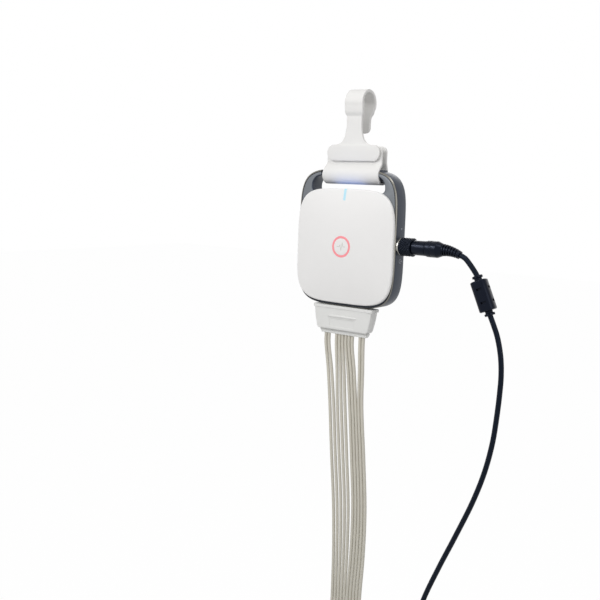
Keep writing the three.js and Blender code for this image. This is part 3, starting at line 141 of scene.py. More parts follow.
# %% [markdown]
# Most of the pieces are moulded: ABS shells, silicone straps and soft jackets. What the
# eye gets from a moulding is an even tone with a faint cloudiness, a fine grain from the
# tool, and a sheen that changes a little from place to place. So one recipe serves them:
# two close tones mixed by a wide noise, a bump from a fine one, and a rough sheen. Grain
# and height are in millimetres, as a tool maker gives them.
# %% Recipe of a moulded finish
WIDE_NOISE_MM = 14
SHEEN_NOISE_MM = 3
SOFT_REACH_MM = 2


def noise_scale(size_mm):
    """Cells per metre for a noise whose grains are size_mm across."""
    return 1 / (size_mm * MM)


def moulded(name, tones, rough, grain_mm, height_mm, ior=1.5, metallic=0.0, spread=0.06,
            subsurface=0.0, specular=0.5, gloss_tint="#ffffff"):
    """Tone = mix(tone 1, tone 2, wide noise); height = fine noise; sheen = rough +- spread."""
    material, tree = empty_material(name)
    coordinates = add_node(tree, "ShaderNodeTexCoord").outputs["Object"]
    wide = add_node(tree, "ShaderNodeTexNoise", {
        "Vector": coordinates, "Scale": noise_scale(WIDE_NOISE_MM), "Detail": 3.0})
    tone = add_node(tree, "ShaderNodeMix", {
        0: wide.outputs[0], 6: linear(tones[0]), 7: linear(tones[1])}, data_type="RGBA")
    fine = add_node(tree, "ShaderNodeTexNoise", {
        "Vector": coordinates, "Scale": noise_scale(grain_mm), "Detail": 2.0})
    bump = add_node(tree, "ShaderNodeBump", {
        "Height": fine.outputs[0], "Distance": height_mm * MM, "Strength": 1.0})
    sheen = add_node(tree, "ShaderNodeTexNoise", {
        "Vector": coordinates, "Scale": noise_scale(SHEEN_NOISE_MM), "Detail": 2.0})
    roughness = add_node(tree, "ShaderNodeMapRange", {
        "Value": sheen.outputs[0], "To Min": rough - spread, "To Max": rough + spread})
    shader = add_node(tree, "ShaderNodeBsdfPrincipled", {
        "Base Color": tone.outputs[2], "Roughness": roughness.outputs[0],
        "Normal": bump.outputs[0], "IOR": ior, "Metallic": metallic,
        "Subsurface Weight": subsurface, "Subsurface Radius": (SOFT_REACH_MM * MM,) * 3,
        "Specular IOR Level": specular, "Specular Tint": linear(gloss_tint)})
    add_node(tree, "ShaderNodeOutputMaterial", {"Surface": shader.outputs[0]})
    return material


# %% [markdown]
# Each moulded finish below is that recipe with its own tones and grain. What makes them
# differ to the eye is mostly the sheen: how strong it is, how wide, and of what colour.
# %% Moulded finishes
# Silicone is soft and matt, and a little of the light passes into it.
silicone = moulded(
    "white_silicone", ("#e5e4e2", "#e2e1df"), 0.55, 0.25, 0.002, ior=1.41, subsurface=0.04,
    specular=0.25)

# ABS from a finely etched tool: an even tone and a broad, weak sheen.
white_abs = moulded(
    "white_abs_fine_grain", ("#ebeae9", "#e9e8e7"), 0.42, 0.22, 0.002, specular=0.3)
connector_abs = moulded(
    "light_grey_abs", ("#e3e3e1", "#dfdfdd"), 0.45, 0.25, 0.003, specular=0.3)
back_abs = moulded("dark_grey_grained_abs", ("#55585e", "#505359"), 0.55, 0.35, 0.02)

# The frame's paint has a little metal flake in it, so its sheen takes the paint's tone.
frame_abs = moulded(
    "slate_painted_abs", ("#363d4a", "#333a46"), 0.36, 0.2, 0.002, metallic=0.2, specular=0.5)
# A lighter copy of the same paint: painted light on the handle's front faces, which catch the front
# light.
painted_lit_face_abs = moulded(
    "frame_paint_painted_lit_face", ("#767a7f", "#72767b"), 0.36, 0.2, 0.002, metallic=0.2,
    specular=0.25)

# The black plastics and the cable are dyed blue-black, and their gloss is faintly blue.
BLUE_BLACK_GLOSS = "#d2dfff"
black_abs = moulded(
    "black_abs", ("#050915", "#040812"), 0.22, 0.2, 0.001, spread=0.03, specular=0.2,
    gloss_tint=BLUE_BLACK_GLOSS)
knurl_abs = moulded(
    "black_knurled_abs", ("#0a0f19", "#080d15"), 0.24, 0.2, 0.001, spread=0.03,
    specular=0.15, gloss_tint=BLUE_BLACK_GLOSS)
cable_jacket = moulded(
    "black_pvc_jacket", ("#0b121c", "#09101a"), 0.34, 0.3, 0.002, specular=0.15,
    gloss_tint=BLUE_BLACK_GLOSS)

# A lead's jacket is smooth, warm grey TPU; a tie's hook tape is rough and has no sheen.
lead_jacket = moulded(
    "warm_grey_tpu_jacket", ("#d0ccc0", "#cdc9bd"), 0.42, 0.3, 0.001, specular=0.3)
tie_nylon = moulded("black_hook_tape", ("#1a1a1c", "#242427"), 0.85, 0.5, 0.08)
print("moulded finishes made")

# %% [markdown]
# The trim is an anodised aluminium strip whose chamfer was cut bright afterwards, and the
# port is a nickelled flange. A metal has no colour under its reflection, so its tone is
# the metal's own, and fine turning or brushing lines run along the surface. The lines
# are drawn coarser than real ones, so that they show at all.
# %% Metal finishes
BRUSH_LINE_MM = 0.3
EVEN = (1, 1, 1)
ALONG_Y = (1, 0.1, 1)


def metal(name, tone, rough, line_height_mm, stretch):
    """Metallic shader; height = noise on coordinates that are squeezed along the brushing."""
    material, tree = empty_material(name)
    coordinates = add_node(tree, "ShaderNodeTexCoord").outputs["Object"]
    squeezed = add_node(tree, "ShaderNodeMapping", {"Vector": coordinates, "Scale": stretch})
    lines = add_node(tree, "ShaderNodeTexNoise", {
        "Vector": squeezed.outputs[0], "Scale": noise_scale(BRUSH_LINE_MM), "Detail": 2.0})
    bump = add_node(tree, "ShaderNodeBump", {
        "Height": lines.outputs[0], "Distance": line_height_mm * MM, "Strength": 1.0})
    shader = add_node(tree, "ShaderNodeBsdfPrincipled", {
        "Base Color": linear(tone), "Metallic": 1.0, "Roughness": rough, "Normal": bump.outputs[0]})
    add_node(tree, "ShaderNodeOutputMaterial", {"Surface": shader.outputs[0]})
    return material


# The trim: bright where a cutter bared the metal, and bright as a painted highlight on its front face
# beside the handle; dark and dull where it is anodised.
trim_aluminium = metal("cut_edge_and_painted_highlight", "#77756f", 0.28, 0.002, ALONG_Y)
dark_anodised = metal("dark_anodised_aluminium", "#33363d", 0.4, 0.002, ALONG_Y)

# Nickel is warm and clear, zinc a little dull, and tinned sheet pale with drawing lines.
nickel = metal("nickelled_brass", "#aeaca6", 0.22, 0.001, EVEN)
screw_steel = metal("zinced_steel", "#b9bbbd", 0.3, 0.002, EVEN)
tinned_steel = metal("tinned_steel", "#c2c4c6", 0.3, 0.002, ALONG_Y)
print("metal finishes made")

# %% [markdown]
# The light bar and the ring round the button are clear plastic light guides with a lamp
# behind them. They give light themselves, at about the level of a white wall, so the
# shader adds an emission of the seen colour to a satin surface.
# %% Lit finishes
SATIN_ROUGH = (0.3, 0.4)


def lit(name, tone, glow):
    """Satin plastic that also gives light: emission = tone * glow, with a faint unevenness."""
    material, tree = empty_material(name)
    coordinates = add_node(tree, "ShaderNodeTexCoord").outputs["Object"]
    uneven = add_node(tree, "ShaderNodeTexNoise", {
        "Vector": coordinates, "Scale": noise_scale(SHEEN_NOISE_MM)})
    rough = add_node(tree, "ShaderNodeMapRange", {
        "Value": uneven.outputs[0], "To Min": SATIN_ROUGH[0], "To Max": SATIN_ROUGH[1]})
    shader = add_node(tree, "ShaderNodeBsdfPrincipled", {
        "Base Color": linear(tone), "Emission Color": linear(tone), "Emission Strength": glow,
        "Roughness": rough.outputs[0]})
    add_node(tree, "ShaderNodeOutputMaterial", {"Surface": shader.outputs[0]})
    return material


blue_light = lit("blue_light_guide", "#9cc4d2", 0.32)
red_light = lit("red_light_guide", "#da8288", 0.35)
print("lit finishes made")

# %% [markdown]
# A cord is a fixed length of something that bends, so its line comes before its skin. The
# free stretch passes through a few chosen places, and a centripetal Catmull-Rom curve
# joins them without loops or kinks, however unevenly they are spaced. The small helpers
# beside it mix two values, ease a share at both ends, and read a line at given marks.
# %% Smooth lines


def blend(low, high, share):
    """Straight mix of two values."""
    return low + (high - low) * share


def eased(share):
    """A share from 0 to 1 that starts and stops gently: 3 s^2 - 2 s^3."""
    return share * share * (3 - 2 * share)


def smooth_line(points, steps):
    """Centripetal Catmull-Rom: on each span a cubic whose end slopes come from the
    neighbouring steps, weighed by the square roots of their lengths."""
    p = np.asarray(points, float)
    p = np.vstack([2 * p[0] - p[1], p, 2 * p[-1] - p[-2]])
    d = np.linalg.norm(np.diff(p, axis=0), axis=1) ** 0.5
    p0, p1, p2, p3 = (q[:, None] for q in (p[:-3], p[1:-2], p[2:-1], p[3:]))
    d0, d1, d2 = (q[:, None, None] for q in (d[:-2], d[1:-1], d[2:]))
    slope1 = ((p1 - p0) / d0 - (p2 - p0) / (d0 + d1) + (p2 - p1) / d1) * d1
    slope2 = ((p2 - p1) / d1 - (p3 - p1) / (d1 + d2) + (p3 - p2) / d2) * d1
    t = np.linspace(0, 1, steps, endpoint=False)[None, :, None]
    curve = ((2 * t ** 3 - 3 * t ** 2 + 1) * p1 + (t ** 3 - 2 * t ** 2 + t) * slope1
             + (3 * t ** 2 - 2 * t ** 3) * p2 + (t ** 3 - t ** 2) * slope2)
    return np.vstack([curve.reshape(-1, p.shape[1]), p[-2]])


def reach_along(line):
    """How far along the line each point lies: the running sum of the steps' lengths."""
    return np.concatenate([[0], np.cumsum(np.linalg.norm(np.diff(line, axis=0), axis=1))])


def at_marks(line, reach, marks):
    """Points of a line at marks along it, found between its own points."""
    return np.stack([np.interp(marks, reach, values) for values in line.T], axis=1)


def evenly(line, step):
    """The same line with points at equal distances along it, about step apart."""
    reach = reach_along(line)
    return at_marks(line, reach, np.linspace(0, reach[-1], max(2, round(reach[-1] / step) + 1)))


# %% [markdown]
# Here is the computer's cable. It leaves the ribbed strain relief, bends down to the
# ferrite and hangs in a long bow. Its places are (x, z) on the drawing, all at one depth.
# %% Route of the cable
CABLE_Y = 9.25
CABLE_DIAMETER = 4.5
RELIEF_START_X = 92.8
RELIEF_LENGTH = 15.3
RELIEF_DROP = 3.2
PORT_Z = 3.4
FERRITE_MIDDLE = np.array([131.1, -30.7])
FERRITE_LENGTH = 34
FERRITE_RUN = np.array([13.4, -30.4])
COIL_LEFT_X = 86
COIL_MIDDLE_Z = -361

ferrite_step = FERRITE_RUN / np.hypot(*FERRITE_RUN) * FERRITE_LENGTH / 2
relief_end = np.array([RELIEF_START_X + RELIEF_LENGTH, PORT_Z - RELIEF_DROP])
relief_slope = math.atan2(-2 * RELIEF_DROP, RELIEF_LENGTH)
relief_step = np.array([math.cos(relief_slope), math.sin(relief_slope)])
cable_places = np.array([
    relief_end - 2.5 * relief_step,
    relief_end + 0.3 * relief_step,
    relief_end + 4.8 * relief_step,
    [117.2, -6.2],
    [120.7, -10.3],
    FERRITE_MIDDLE - ferrite_step,
    FERRITE_MIDDLE,
    FERRITE_MIDDLE + ferrite_step,
    [141.3, -53.4],
    [145.2, -62.6],
    [149.1, -78],
    [150.6, -93],
    [150.4, -108],
    [149.2, -128],
    [146.9, -150.6],
    [141.7, -176],
    [133.2, -202.7],
    [119.5, -236.3],
    [105.2, -269.5],
    [92.6, -301.5],
    [87.6, -320],
    [COIL_LEFT_X, -338],
    [COIL_LEFT_X, -350],
    [COIL_LEFT_X, COIL_MIDDLE_Z],
])
hanging = smooth_line(cable_places, steps=12)
hanging = np.column_stack([hanging[:, 0], np.full(len(hanging), CABLE_Y), hanging[:, 1]])
print("places of the hanging cable:", len(cable_places))

# %% [markdown]
# The rest of the cable's length is wound into a coil of two layers, which spirals in at
# the front and out again at the back. A straight tail runs down from it to the plug.
# %% Coil of the cable
COIL_RADIUS = 34
COIL_PITCH = 5.25
COIL_LAYER_PITCH = 5.1
COIL_TURNS = 6
COIL_TAIL = 46
CLIMB_HALF = 0.25
POINTS_A_TURN = 72
TAIL_POINTS = 12
CABLE_STEP = 2.6


def coil_line(turns):
    """Radius falls by a pitch a turn to half way and grows again; the layer changes there."""
    half = COIL_TURNS / 2
    inward = half - np.abs(turns - half)
    radius = COIL_RADIUS - COIL_PITCH * np.minimum(inward * half / (half - CLIMB_HALF), half)
    t = np.clip((turns - half + CLIMB_HALF) / (2 * CLIMB_HALF), 0, 1)
    angle = math.pi + 2 * math.pi * turns
    return np.column_stack([
        COIL_LEFT_X + COIL_RADIUS + radius * np.cos(angle),
        CABLE_Y + COIL_LAYER_PITCH * eased(t),
        COIL_MIDDLE_Z + radius * np.sin(angle)])


coiled = coil_line(np.linspace(0, COIL_TURNS, COIL_TURNS * POINTS_A_TURN + 1))
tail_z = COIL_MIDDLE_Z - COIL_TAIL * np.linspace(0.05, 1, TAIL_POINTS)
tail = np.column_stack([
    np.full(TAIL_POINTS, COIL_LEFT_X), np.full(TAIL_POINTS, CABLE_Y + COIL_LAYER_PITCH), tail_z])
cable_line = evenly(np.vstack([hanging, coiled[1:], tail]), CABLE_STEP)
print("cable length in metres", round(float(reach_along(cable_line)[-1]) * MM, 3))

# %% [markdown]
# The ten patient leads leave the block in groups of two, six and two, and soon hang as
# two bundles of five. At each station down the way, a bundle has a middle and a pitch.
# %% Leads below the block
LEAD_DIAMETER = 2.9
LEAD_PITCH = 3.45
LEAD_PAIR_X = 18.4
LEAD_START = np.array([6.6, -79.8])
LEAD_ROOT = 1.5
LEAD_STRAIGHT = 8.7
LEAD_STEP = 2.5
LEAD_COUNT = 10
BUNDLE = 5
STATION_Z = np.array([-142, -190, -240, -285, -322, -335])
STATION_Y = np.array([9, 10.8, 12.5, 14, 15, 15])
STATION_MIDDLES = np.array([
    [-6.6, 13.5], [-3.6, 16.8], [-0.3, 19.7], [0.3, 18.9], [-0.5, 16.6], [-0.5, 16.6]])
STATION_PITCHES = np.array([
    [4.2, 3.3], [4.25, 3.35], [4.15, 3.35], [3.8, 3.4], [3.45, 3.4], [3.45, 3.4]])


def lead_exit_x(index):
    """Outer pairs stand at the pair's middle, half a pitch to each side; the six between
    them stand a pitch apart about the block's middle."""
    side = -1 if index < BUNDLE else 1
    from_end = min(index, LEAD_COUNT - 1 - index)
    if from_end < 2:
        return side * (LEAD_PAIR_X + (0.5 - from_end) * LEAD_PITCH)
    return (index - (LEAD_COUNT - 1) / 2) * LEAD_PITCH


def free_stretch(index):
    """From the block down to the fold, as (x, y, z) places."""
    bundle, order = index // BUNDLE, index % BUNDLE - (BUNDLE - 1) / 2
    stations = np.column_stack([
        STATION_MIDDLES[:, bundle] + order * STATION_PITCHES[:, bundle], STATION_Y, STATION_Z])
    exit_place = np.array([lead_exit_x(index), *LEAD_START])
    down = np.array([0, 0, -1])
    return np.vstack([
        exit_place - LEAD_ROOT * down, exit_place, exit_place + LEAD_STRAIGHT * down,
        (exit_place + stations[0]) / 2, stations])


print("leads leave the block at", [round(lead_exit_x(i), 2) for i in range(LEAD_COUNT)])

# %% [markdown]
# Below the view the leads are folded. Each row of five turns into a column, and the two
# columns run down, up and down again through a tie, so that the waist is drawn in,
# before the ends fan out to their plugs.
# %% Folded leads
RUN_PITCH = 21.8
GATHER_Z = -385
BOTTOM_Z = -500
TOP_FOLD_Z = -363
COLUMN_PITCH = 3.8
LAYER_PITCH = 3.5
WAIST_PITCH = 5.4
WAIST_Z = -432
WAIST_REACH = 28
WAIST_SHARES = np.array([1.4, 0.35, -0.35, -1.4])
FAN_Z = -507
END_Z = -548
FAN_COLUMN_PITCH = 9
FAN_LAYER_PITCH = 8
FAN_SHARES = np.array([0.5, 1.0])
GATHER_STEPS = 3
FOLD_STEPS = 4


def folded_stretch(index):
    """Gather, three runs with a fold between each two, and the fan to the plug."""
    bundle, order = index // BUNDLE, index % BUNDLE - (BUNDLE - 1) / 2
    side = 2 * bundle - 1
    layer_y = STATION_Y[-1] + order * LAYER_PITCH
    column = side * COLUMN_PITCH / 2
    run_x = STATION_MIDDLES[-1].mean()
    middle_x = run_x + RUN_PITCH
    first_gap = STATION_MIDDLES[-1, 1] - STATION_MIDDLES[-1, 0]

    share = np.arange(1, GATHER_STEPS + 1) / GATHER_STEPS
    turn = share * math.pi / 2
    pitch = blend(STATION_PITCHES[-1, bundle], LAYER_PITCH, share)
    gap = COLUMN_PITCH + (first_gap - COLUMN_PITCH) * np.cos(turn)
    gather = np.column_stack([
        run_x + side * gap / 2 + order * pitch * np.cos(turn),
        STATION_Y[-1] + order * pitch * np.sin(turn),
        blend(STATION_Z[-1] - LEAD_DIAMETER, GATHER_Z, share)])

    def run(offset, lane, to_z, upwards):
        """One length of the hank; exp(-(z / reach)^2) draws it in towards the tie."""
        z = WAIST_Z + WAIST_SHARES * WAIST_REACH
        z = np.append(z[::-1] if upwards else z, to_z)
        drawn = 1 - (1 - WAIST_PITCH / RUN_PITCH) * np.exp(-((z - WAIST_Z) / WAIST_REACH) ** 2)
        return np.column_stack([middle_x + offset * drawn + lane, np.full(len(z), layer_y), z])

    def fold(x, z, radius, sweep):
        """Half a circle between two runs, without its first point."""
        angle = math.pi + sweep * np.arange(1, FOLD_STEPS + 1) / FOLD_STEPS
        return np.column_stack([
            x + radius * np.cos(angle), np.full(FOLD_STEPS, layer_y), z + radius * np.sin(angle)])

    half = RUN_PITCH / 2
    spread = eased(FAN_SHARES)
    fan = np.column_stack([
        middle_x + RUN_PITCH + side * blend(COLUMN_PITCH, FAN_COLUMN_PITCH, spread) / 2,
        STATION_Y[-1] + order * blend(LAYER_PITCH, FAN_LAYER_PITCH, spread),
        blend(FAN_Z, END_Z + LEAD_DIAMETER, FAN_SHARES)])
    end = fan[-1] * [1, 1, 0] + [0, 0, END_Z]
    return np.vstack([
        gather,
        run(-RUN_PITCH, column, BOTTOM_Z, False),
        fold(middle_x - half, BOTTOM_Z, half - column, math.pi),
        run(0, -column, TOP_FOLD_Z, True),
        fold(middle_x + half, TOP_FOLD_Z, half + column, -math.pi),
        run(RUN_PITCH, column, FAN_Z, False),
        fan,
        end])


lead_lines = [
    evenly(smooth_line(np.vstack([free_stretch(i), folded_stretch(i)]), steps=10), LEAD_STEP)
    for i in range(LEAD_COUNT)]
print("lead lengths in metres", [round(float(reach_along(line)[-1]) * MM, 3) for line in lead_lines])

# %% [markdown]
# A curve with a round bevel gives each line its jacket. The curve stays one open spline,
# so its own line is the cord's middle, and a few sides are enough for so thin a cord.
# Every visible piece, cord or shell, then rides on its body and says which part of the
# measured model it stands for.
# %% Cord jackets


def place_on(body, name, data, nodes):
    """A new object that rides on a body and hides the nodes that it stands for."""
    piece = bpy.data.objects.new(name, data)
    bpy.context.collection.objects.link(piece)
    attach(piece, body)
    if nodes:
        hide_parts(*nodes)
    return piece


def cord_piece(name, line, diameter, material, body, nodes, roundness):
    """A tube of the given diameter along a line, made as a bevelled curve."""
    curve = bpy.data.curves.new(name, "CURVE")
    curve.dimensions = "3D"
    curve.bevel_depth = diameter * MM / 2
    curve.bevel_resolution = roundness
    curve.use_fill_caps = True
    spline = curve.splines.new("POLY")
    spline.points.add(len(line) - 1)
    spline.points.foreach_set("co", np.column_stack([place(line), np.ones(len(line))]).ravel())
    spline.use_smooth = True
    curve.materials.append(material)
    return place_on(body, name, curve, nodes)


cable = cord_piece(
    "cable_to_computer", cable_line, CABLE_DIAMETER, cable_jacket, "cable_plug",
    ("power_cable", "cable_coil"), roundness=5)
leads = [
    cord_piece(
        f"patient_lead_{i}", line, LEAD_DIAMETER, lead_jacket, "lead_set",
        (f"lead_{i}", f"lead_fold_{i}"), roundness=4)
    for i, line in enumerate(lead_lines, 1)]
print("points of the cable's line:", len(cable_line), "and of the first lead's:", len(lead_lines[0]))

# %% [markdown]
# Every other piece is a closed shell: rows of points that are skinned into quads. These
# few functions lay out the points as whole arrays. An outline can be moved inwards along
# its own normals, which is what rounds the rim of a plate without a bevel tool.
# %% Rows and outlines


def grid_quads(rows, around, wrap):
    """Four corners of each cell of a grid whose columns close on themselves."""
    i, j = np.meshgrid(np.arange(rows if wrap else rows - 1), np.arange(around), indexing="ij")
    below, beside = (i + 1) % rows, (j + 1) % around
    corners = [i * around + j, i * around + beside, below * around + beside, below * around + j]
    return np.stack(corners, axis=-1).reshape(-1, 4)


def skin(rows, wrap=False):
    """Closed shell through rows of points; the end rows are capped, or joined by wrap."""
    rows = np.asarray(rows, float)
    count, around = rows.shape[:2]
    faces = grid_quads(count, around, wrap).tolist()
    if not wrap:
        faces.append(list(range(around)))
        faces.append(list(range((count - 1) * around, count * around)))
    return rows.reshape(-1, 3), faces


def left_normals(steps):
    """Flat steps made one long and turned a quarter to the left."""
    unit = steps / np.linalg.norm(steps, axis=1, keepdims=True)
    return np.column_stack([-unit[:, 1], unit[:, 0]])


def mitred(before, after):
    """The corner's way out for each pair of normals: (a + b) / (1 + a . b)."""
    return (before + after) / (1 + (before * after).sum(axis=1, keepdims=True))


def moved_in(outline, distance):
    """Each point of an anticlockwise outline moved inwards by distance, mitred at corners."""
    normal = left_normals(np.roll(outline, -1, axis=0) - outline)
    return outline + distance * mitred(np.roll(normal, 1, axis=0), normal)


def at_level(flat, y):
    """A flat line of (x, z) as places at one depth y."""
    return np.column_stack([flat[:, 0], np.full(len(flat), y), flat[:, 1]])


# %% [markdown]
# Two kinds of shell make most of the pieces. A plate is an outline carried from one level
# to another, with or without holes. A turned piece is a profile that goes round an axis,
# and its corners are softened first.
# %% Plates and turned pieces
CORNER_SHARE = 0.45


def rounded_rim(near, far, near_round, far_round, steps=5):
    """Stations (inset, level) of a wall whose two rims are quarter circles."""
    a = np.linspace(0, math.pi / 2, steps)
    inset, rise = 1 - np.sin(a), 1 - np.cos(a)
    near_part = np.column_stack([near_round * inset, near + near_round * rise])
    far_part = np.column_stack([far_round * inset, far - far_round * rise])
    return np.vstack([near_part, far_part[::-1]])


def plate(outline, stations, holes=(), upright="y"):
    """Shell between two levels. The outline, and each hole, is carried through its
    stations; the two ends are filled round the holes. upright names the level's axis."""
    loops = [(outline, stations, 1)] + [(hole, rim, -1) for hole, rim in holes]
    vertices, faces, starts, offset = [], [], [], 0
    for loop, rim, sign in loops:
        rows = np.stack([
            np.column_stack([moved_in(loop, sign * inset), np.full(len(loop), level)])
            for inset, level in rim])
        vertices.append(rows.reshape(-1, 3))
        faces += (grid_quads(len(rows), len(loop), False) + offset).tolist()
        starts.append((offset, len(loop), len(rows)))
        offset += len(rows) * len(loop)
    points = np.vstack(vertices)
    for end in (0, 1):
        index = np.concatenate([
            start + (count - 1) * end * around + np.arange(around) for start, around, count in starts])
        rings = np.split(points[index], np.cumsum([around for _, around, _ in starts])[:-1])
        triangles = tessellate_polygon([[Vector((*p[:2], 0)) for p in ring] for ring in rings])
        faces += [[int(index[k]) for k in t] for t in triangles]
    order = {"y": [0, 2, 1], "z": [0, 1, 2], "x": [2, 0, 1]}[upright]
    return points[:, order], faces


def soft_corners(profile, radius, steps=4):
    """Each inner corner of an open profile replaced by a small parabola, which takes up
    its radius of both sides, or less than half of a short one."""
    p = np.asarray(profile, float)
    corner = p[1:-1]

    def along(other):
        """The place a radius away from each corner, towards its neighbour."""
        side = other - corner
        length = np.linalg.norm(side, axis=1, keepdims=True)
        return (corner + side * np.minimum(radius / length, CORNER_SHARE))[:, None]

    t = np.linspace(0, 1, steps)[None, :, None]
    arcs = (1 - t) ** 2 * along(p[:-2]) + 2 * t * (1 - t) * corner[:, None] + t ** 2 * along(p[2:])
    return np.vstack([p[:1], arcs.reshape(-1, 2), p[-1:]])


def round_rows(along, radius, angle):
    """Rows of points round the x axis: places along it, and radii at the given angles."""
    along, radius = np.broadcast_arrays(along, radius * np.ones(len(angle)))
    return np.stack([along, radius * np.cos(angle), radius * np.sin(angle)], axis=-1)


def all_round(count):
    """Angles of count equal steps round a circle."""
    return np.arange(count) * 2 * math.pi / count


def turned(profile, middle, axis="x", sides=64):
    """Rows of a profile of (place along the axis, radius), turned round the axis."""
    profile = np.asarray(profile, float)
    rows = round_rows(profile[:, :1], profile[:, 1:], all_round(sides))
    order = {"x": [0, 1, 2], "y": [1, 0, 2], "z": [1, 2, 0]}[axis]
    return skin(rows[..., order] + np.asarray(middle, float))


# %% [markdown]
# Shells become one mesh, and the mesh one piece. Edges stay sharp only where two faces
# meet at more than a piece's own angle, so that roundings shade as smooth surfaces.
# %% Pieces of shells
MERGE_MM = 1e-4


def joined_mesh(name, shells, merged):
    """One mesh of several shells, with its faces turned outwards. A shell may carry the
    number of its material. Where merged, points that lie together become one."""
    mesh = bpy.data.meshes.new(name)
    vertices, faces, numbers, offset = [], [], [], 0
    for points, cells, *number in shells:
        vertices.append(place(points))
        faces += [[k + offset for k in cell] for cell in cells]
        numbers += (number or [0]) * len(cells)
        offset += len(points)
    mesh.from_pydata(np.vstack(vertices).tolist(), [], faces)
    mesh.polygons.foreach_set("material_index", numbers)
    work = bmesh.new()
    work.from_mesh(mesh)
    if merged:
        bmesh.ops.remove_doubles(work, verts=work.verts, dist=MERGE_MM * MM)
    bmesh.ops.recalc_face_normals(work, faces=work.faces)
    work.to_mesh(mesh)
    work.free()
    return mesh


def shade(mesh, sharp):
    """Smooth shading, with edges kept sharp where faces meet at more than an angle."""
    mesh.shade_smooth()
    mesh.set_sharp_from_angle(angle=math.radians(sharp))


def make_piece(name, shells, materials, body, nodes=(), sharp=32):
    """One object made of shells, with its materials, placed on its body."""
    mesh = joined_mesh(name, shells, True)
    shade(mesh, sharp)
    for material in materials:
        mesh.materials.append(material)
    return place_on(body, name, mesh, nodes)


# %% [markdown]
# Some openings are simpler to cut than to skin: a gap in a ring, a sunk panel, the slots
# of a snap case. The cutter is a closed shell too; it is used once and thrown away.
# %% Cutting helper


def cut_away(piece, shells, sharp=32):
    """Takes closed shells out of a piece: piece minus their union, as a finished mesh."""
    cutter = bpy.data.objects.new("cutter", joined_mesh("cutter", shells, False))
    bpy.context.collection.objects.link(cutter)
    cut = piece.modifiers.new("cut", "BOOLEAN")
    cut.operation = "DIFFERENCE"
    cut.solver = "EXACT"
    cut.use_self = True
    cut.object = cutter
    bpy.context.view_layer.update()
    seen = piece.evaluated_get(bpy.context.evaluated_depsgraph_get())
    made = bpy.data.meshes.new_from_object(seen)
    piece.modifiers.clear()
    piece.data = made
    shade(made, sharp)
    bpy.data.objects.remove(cutter)


def block(low, high):
    """A plain box between two corners, as a shell."""
    x, y, z = zip(low, high)
    outline = np.array([[x[0], z[0]], [x[1], z[0]], [x[1], z[1]], [x[0], z[1]]])
    return plate(outline, [[0, y[0]], [0, y[1]]])


# %% [markdown]
# The cover, the frame and the trim share one outline, a squircle: a square whose sides
# swell and whose corners are wide. A superellipse gives it: |x/a|^4.6 + |z/b|^4.6 = 1.
# The frame's is also pulled up, which leaves straight sides beside the handle.
# %% The squircle outline
CORNER_POWER = 4.6
FINE_ANGLES = 4001
FINE_STEP = 0.05


def squircle(half_width, half_height, rise=0.0, middle_z=0.0, count=240):
    """Superellipse points at equal distances, with the upper half lifted by rise."""
    angle = np.linspace(0, 2 * math.pi, FINE_ANGLES)
    c, s = np.cos(angle), np.sin(angle)
    x = half_width * np.sign(c) * np.abs(c) ** (2 / CORNER_POWER)
    z = half_height * np.sign(s) * np.abs(s) ** (2 / CORNER_POWER) + np.where(s >= 0, rise, 0.0)
    line = evenly(np.column_stack([x, z + middle_z]), FINE_STEP)
    number = np.arange(len(line))
    return at_marks(line, number, np.linspace(0, number[-1], count, endpoint=False))


def arc(middle, radius, start, end, count=10):
    """Points on a circle from one angle in degrees to another."""
    angle = np.radians(np.linspace(start, end, count))
    return np.column_stack([middle[0] + radius * np.cos(angle), middle[1] + radius * np.sin(angle)])


def round_outline(radius, middle=(0, 0), count=64):
    """A circle of count points, anticlockwise."""
    return arc(middle, radius, 0, 360, count + 1)[:-1]


def round_box(low_x, high_x, low_z, high_z, low_radius, high_radius=None):
    """A rectangle with round corners, anticlockwise from the lower right."""
    low, high = low_radius, low_radius if high_radius is None else high_radius
    return np.vstack([
        arc((high_x - low, low_z + low), low, -90, 0),
        arc((high_x - high, high_z - high), high, 0, 90),
        arc((low_x + high, high_z - high), high, 90, 180),
        arc((low_x + low, low_z + low), low, 180, 270)])


# %% [markdown]
# The frame is a painted ABS ring with the handle slot through it. Its front rim is cut
# back for the trim, and its back rim is rounded. The middle of the handle bar is a round
# grip, thinner than the bar, that the band turns on, so the bar gets a gap for it.
# %% Frame
HALF_WIDTH = 51
LOW_HEIGHT = 53
RISE = 14.5
FRONT_Y = 1.5
BACK_Y = 17
BACK_ROUND = 0.6
TRIM_SEAT = 1.8
SEAT_DEPTH = 1.75
SEAT_ROUND = 0.25
SEAT_ROUND_MIDDLE = 0.07
SIDE_ROUND = 0.3
SIDE_ROUND_MIDDLE = 0.08
SLOT_HALF = 38
SLOT_LOW_Z = 47.5
SLOT_HIGH_Z = 61.6
SLOT_LOW_CORNER = 4
SLOT_HIGH_CORNER = 9.2
SLOT_ROUND = 0.9
CAVITY = (46.5, 46.15, 0.0, -2.35)
GRIP_MIDDLE = np.array([10.45, 63.0])
GRIP_RADIUS = 6.1
GRIP_TOP_Z = 67.5
GRIP_X = (-28.7, 31.1)
GRIP_ROOT = 0.6
CUT_OVERRUN = 2
FACE_LOW_Z = 10

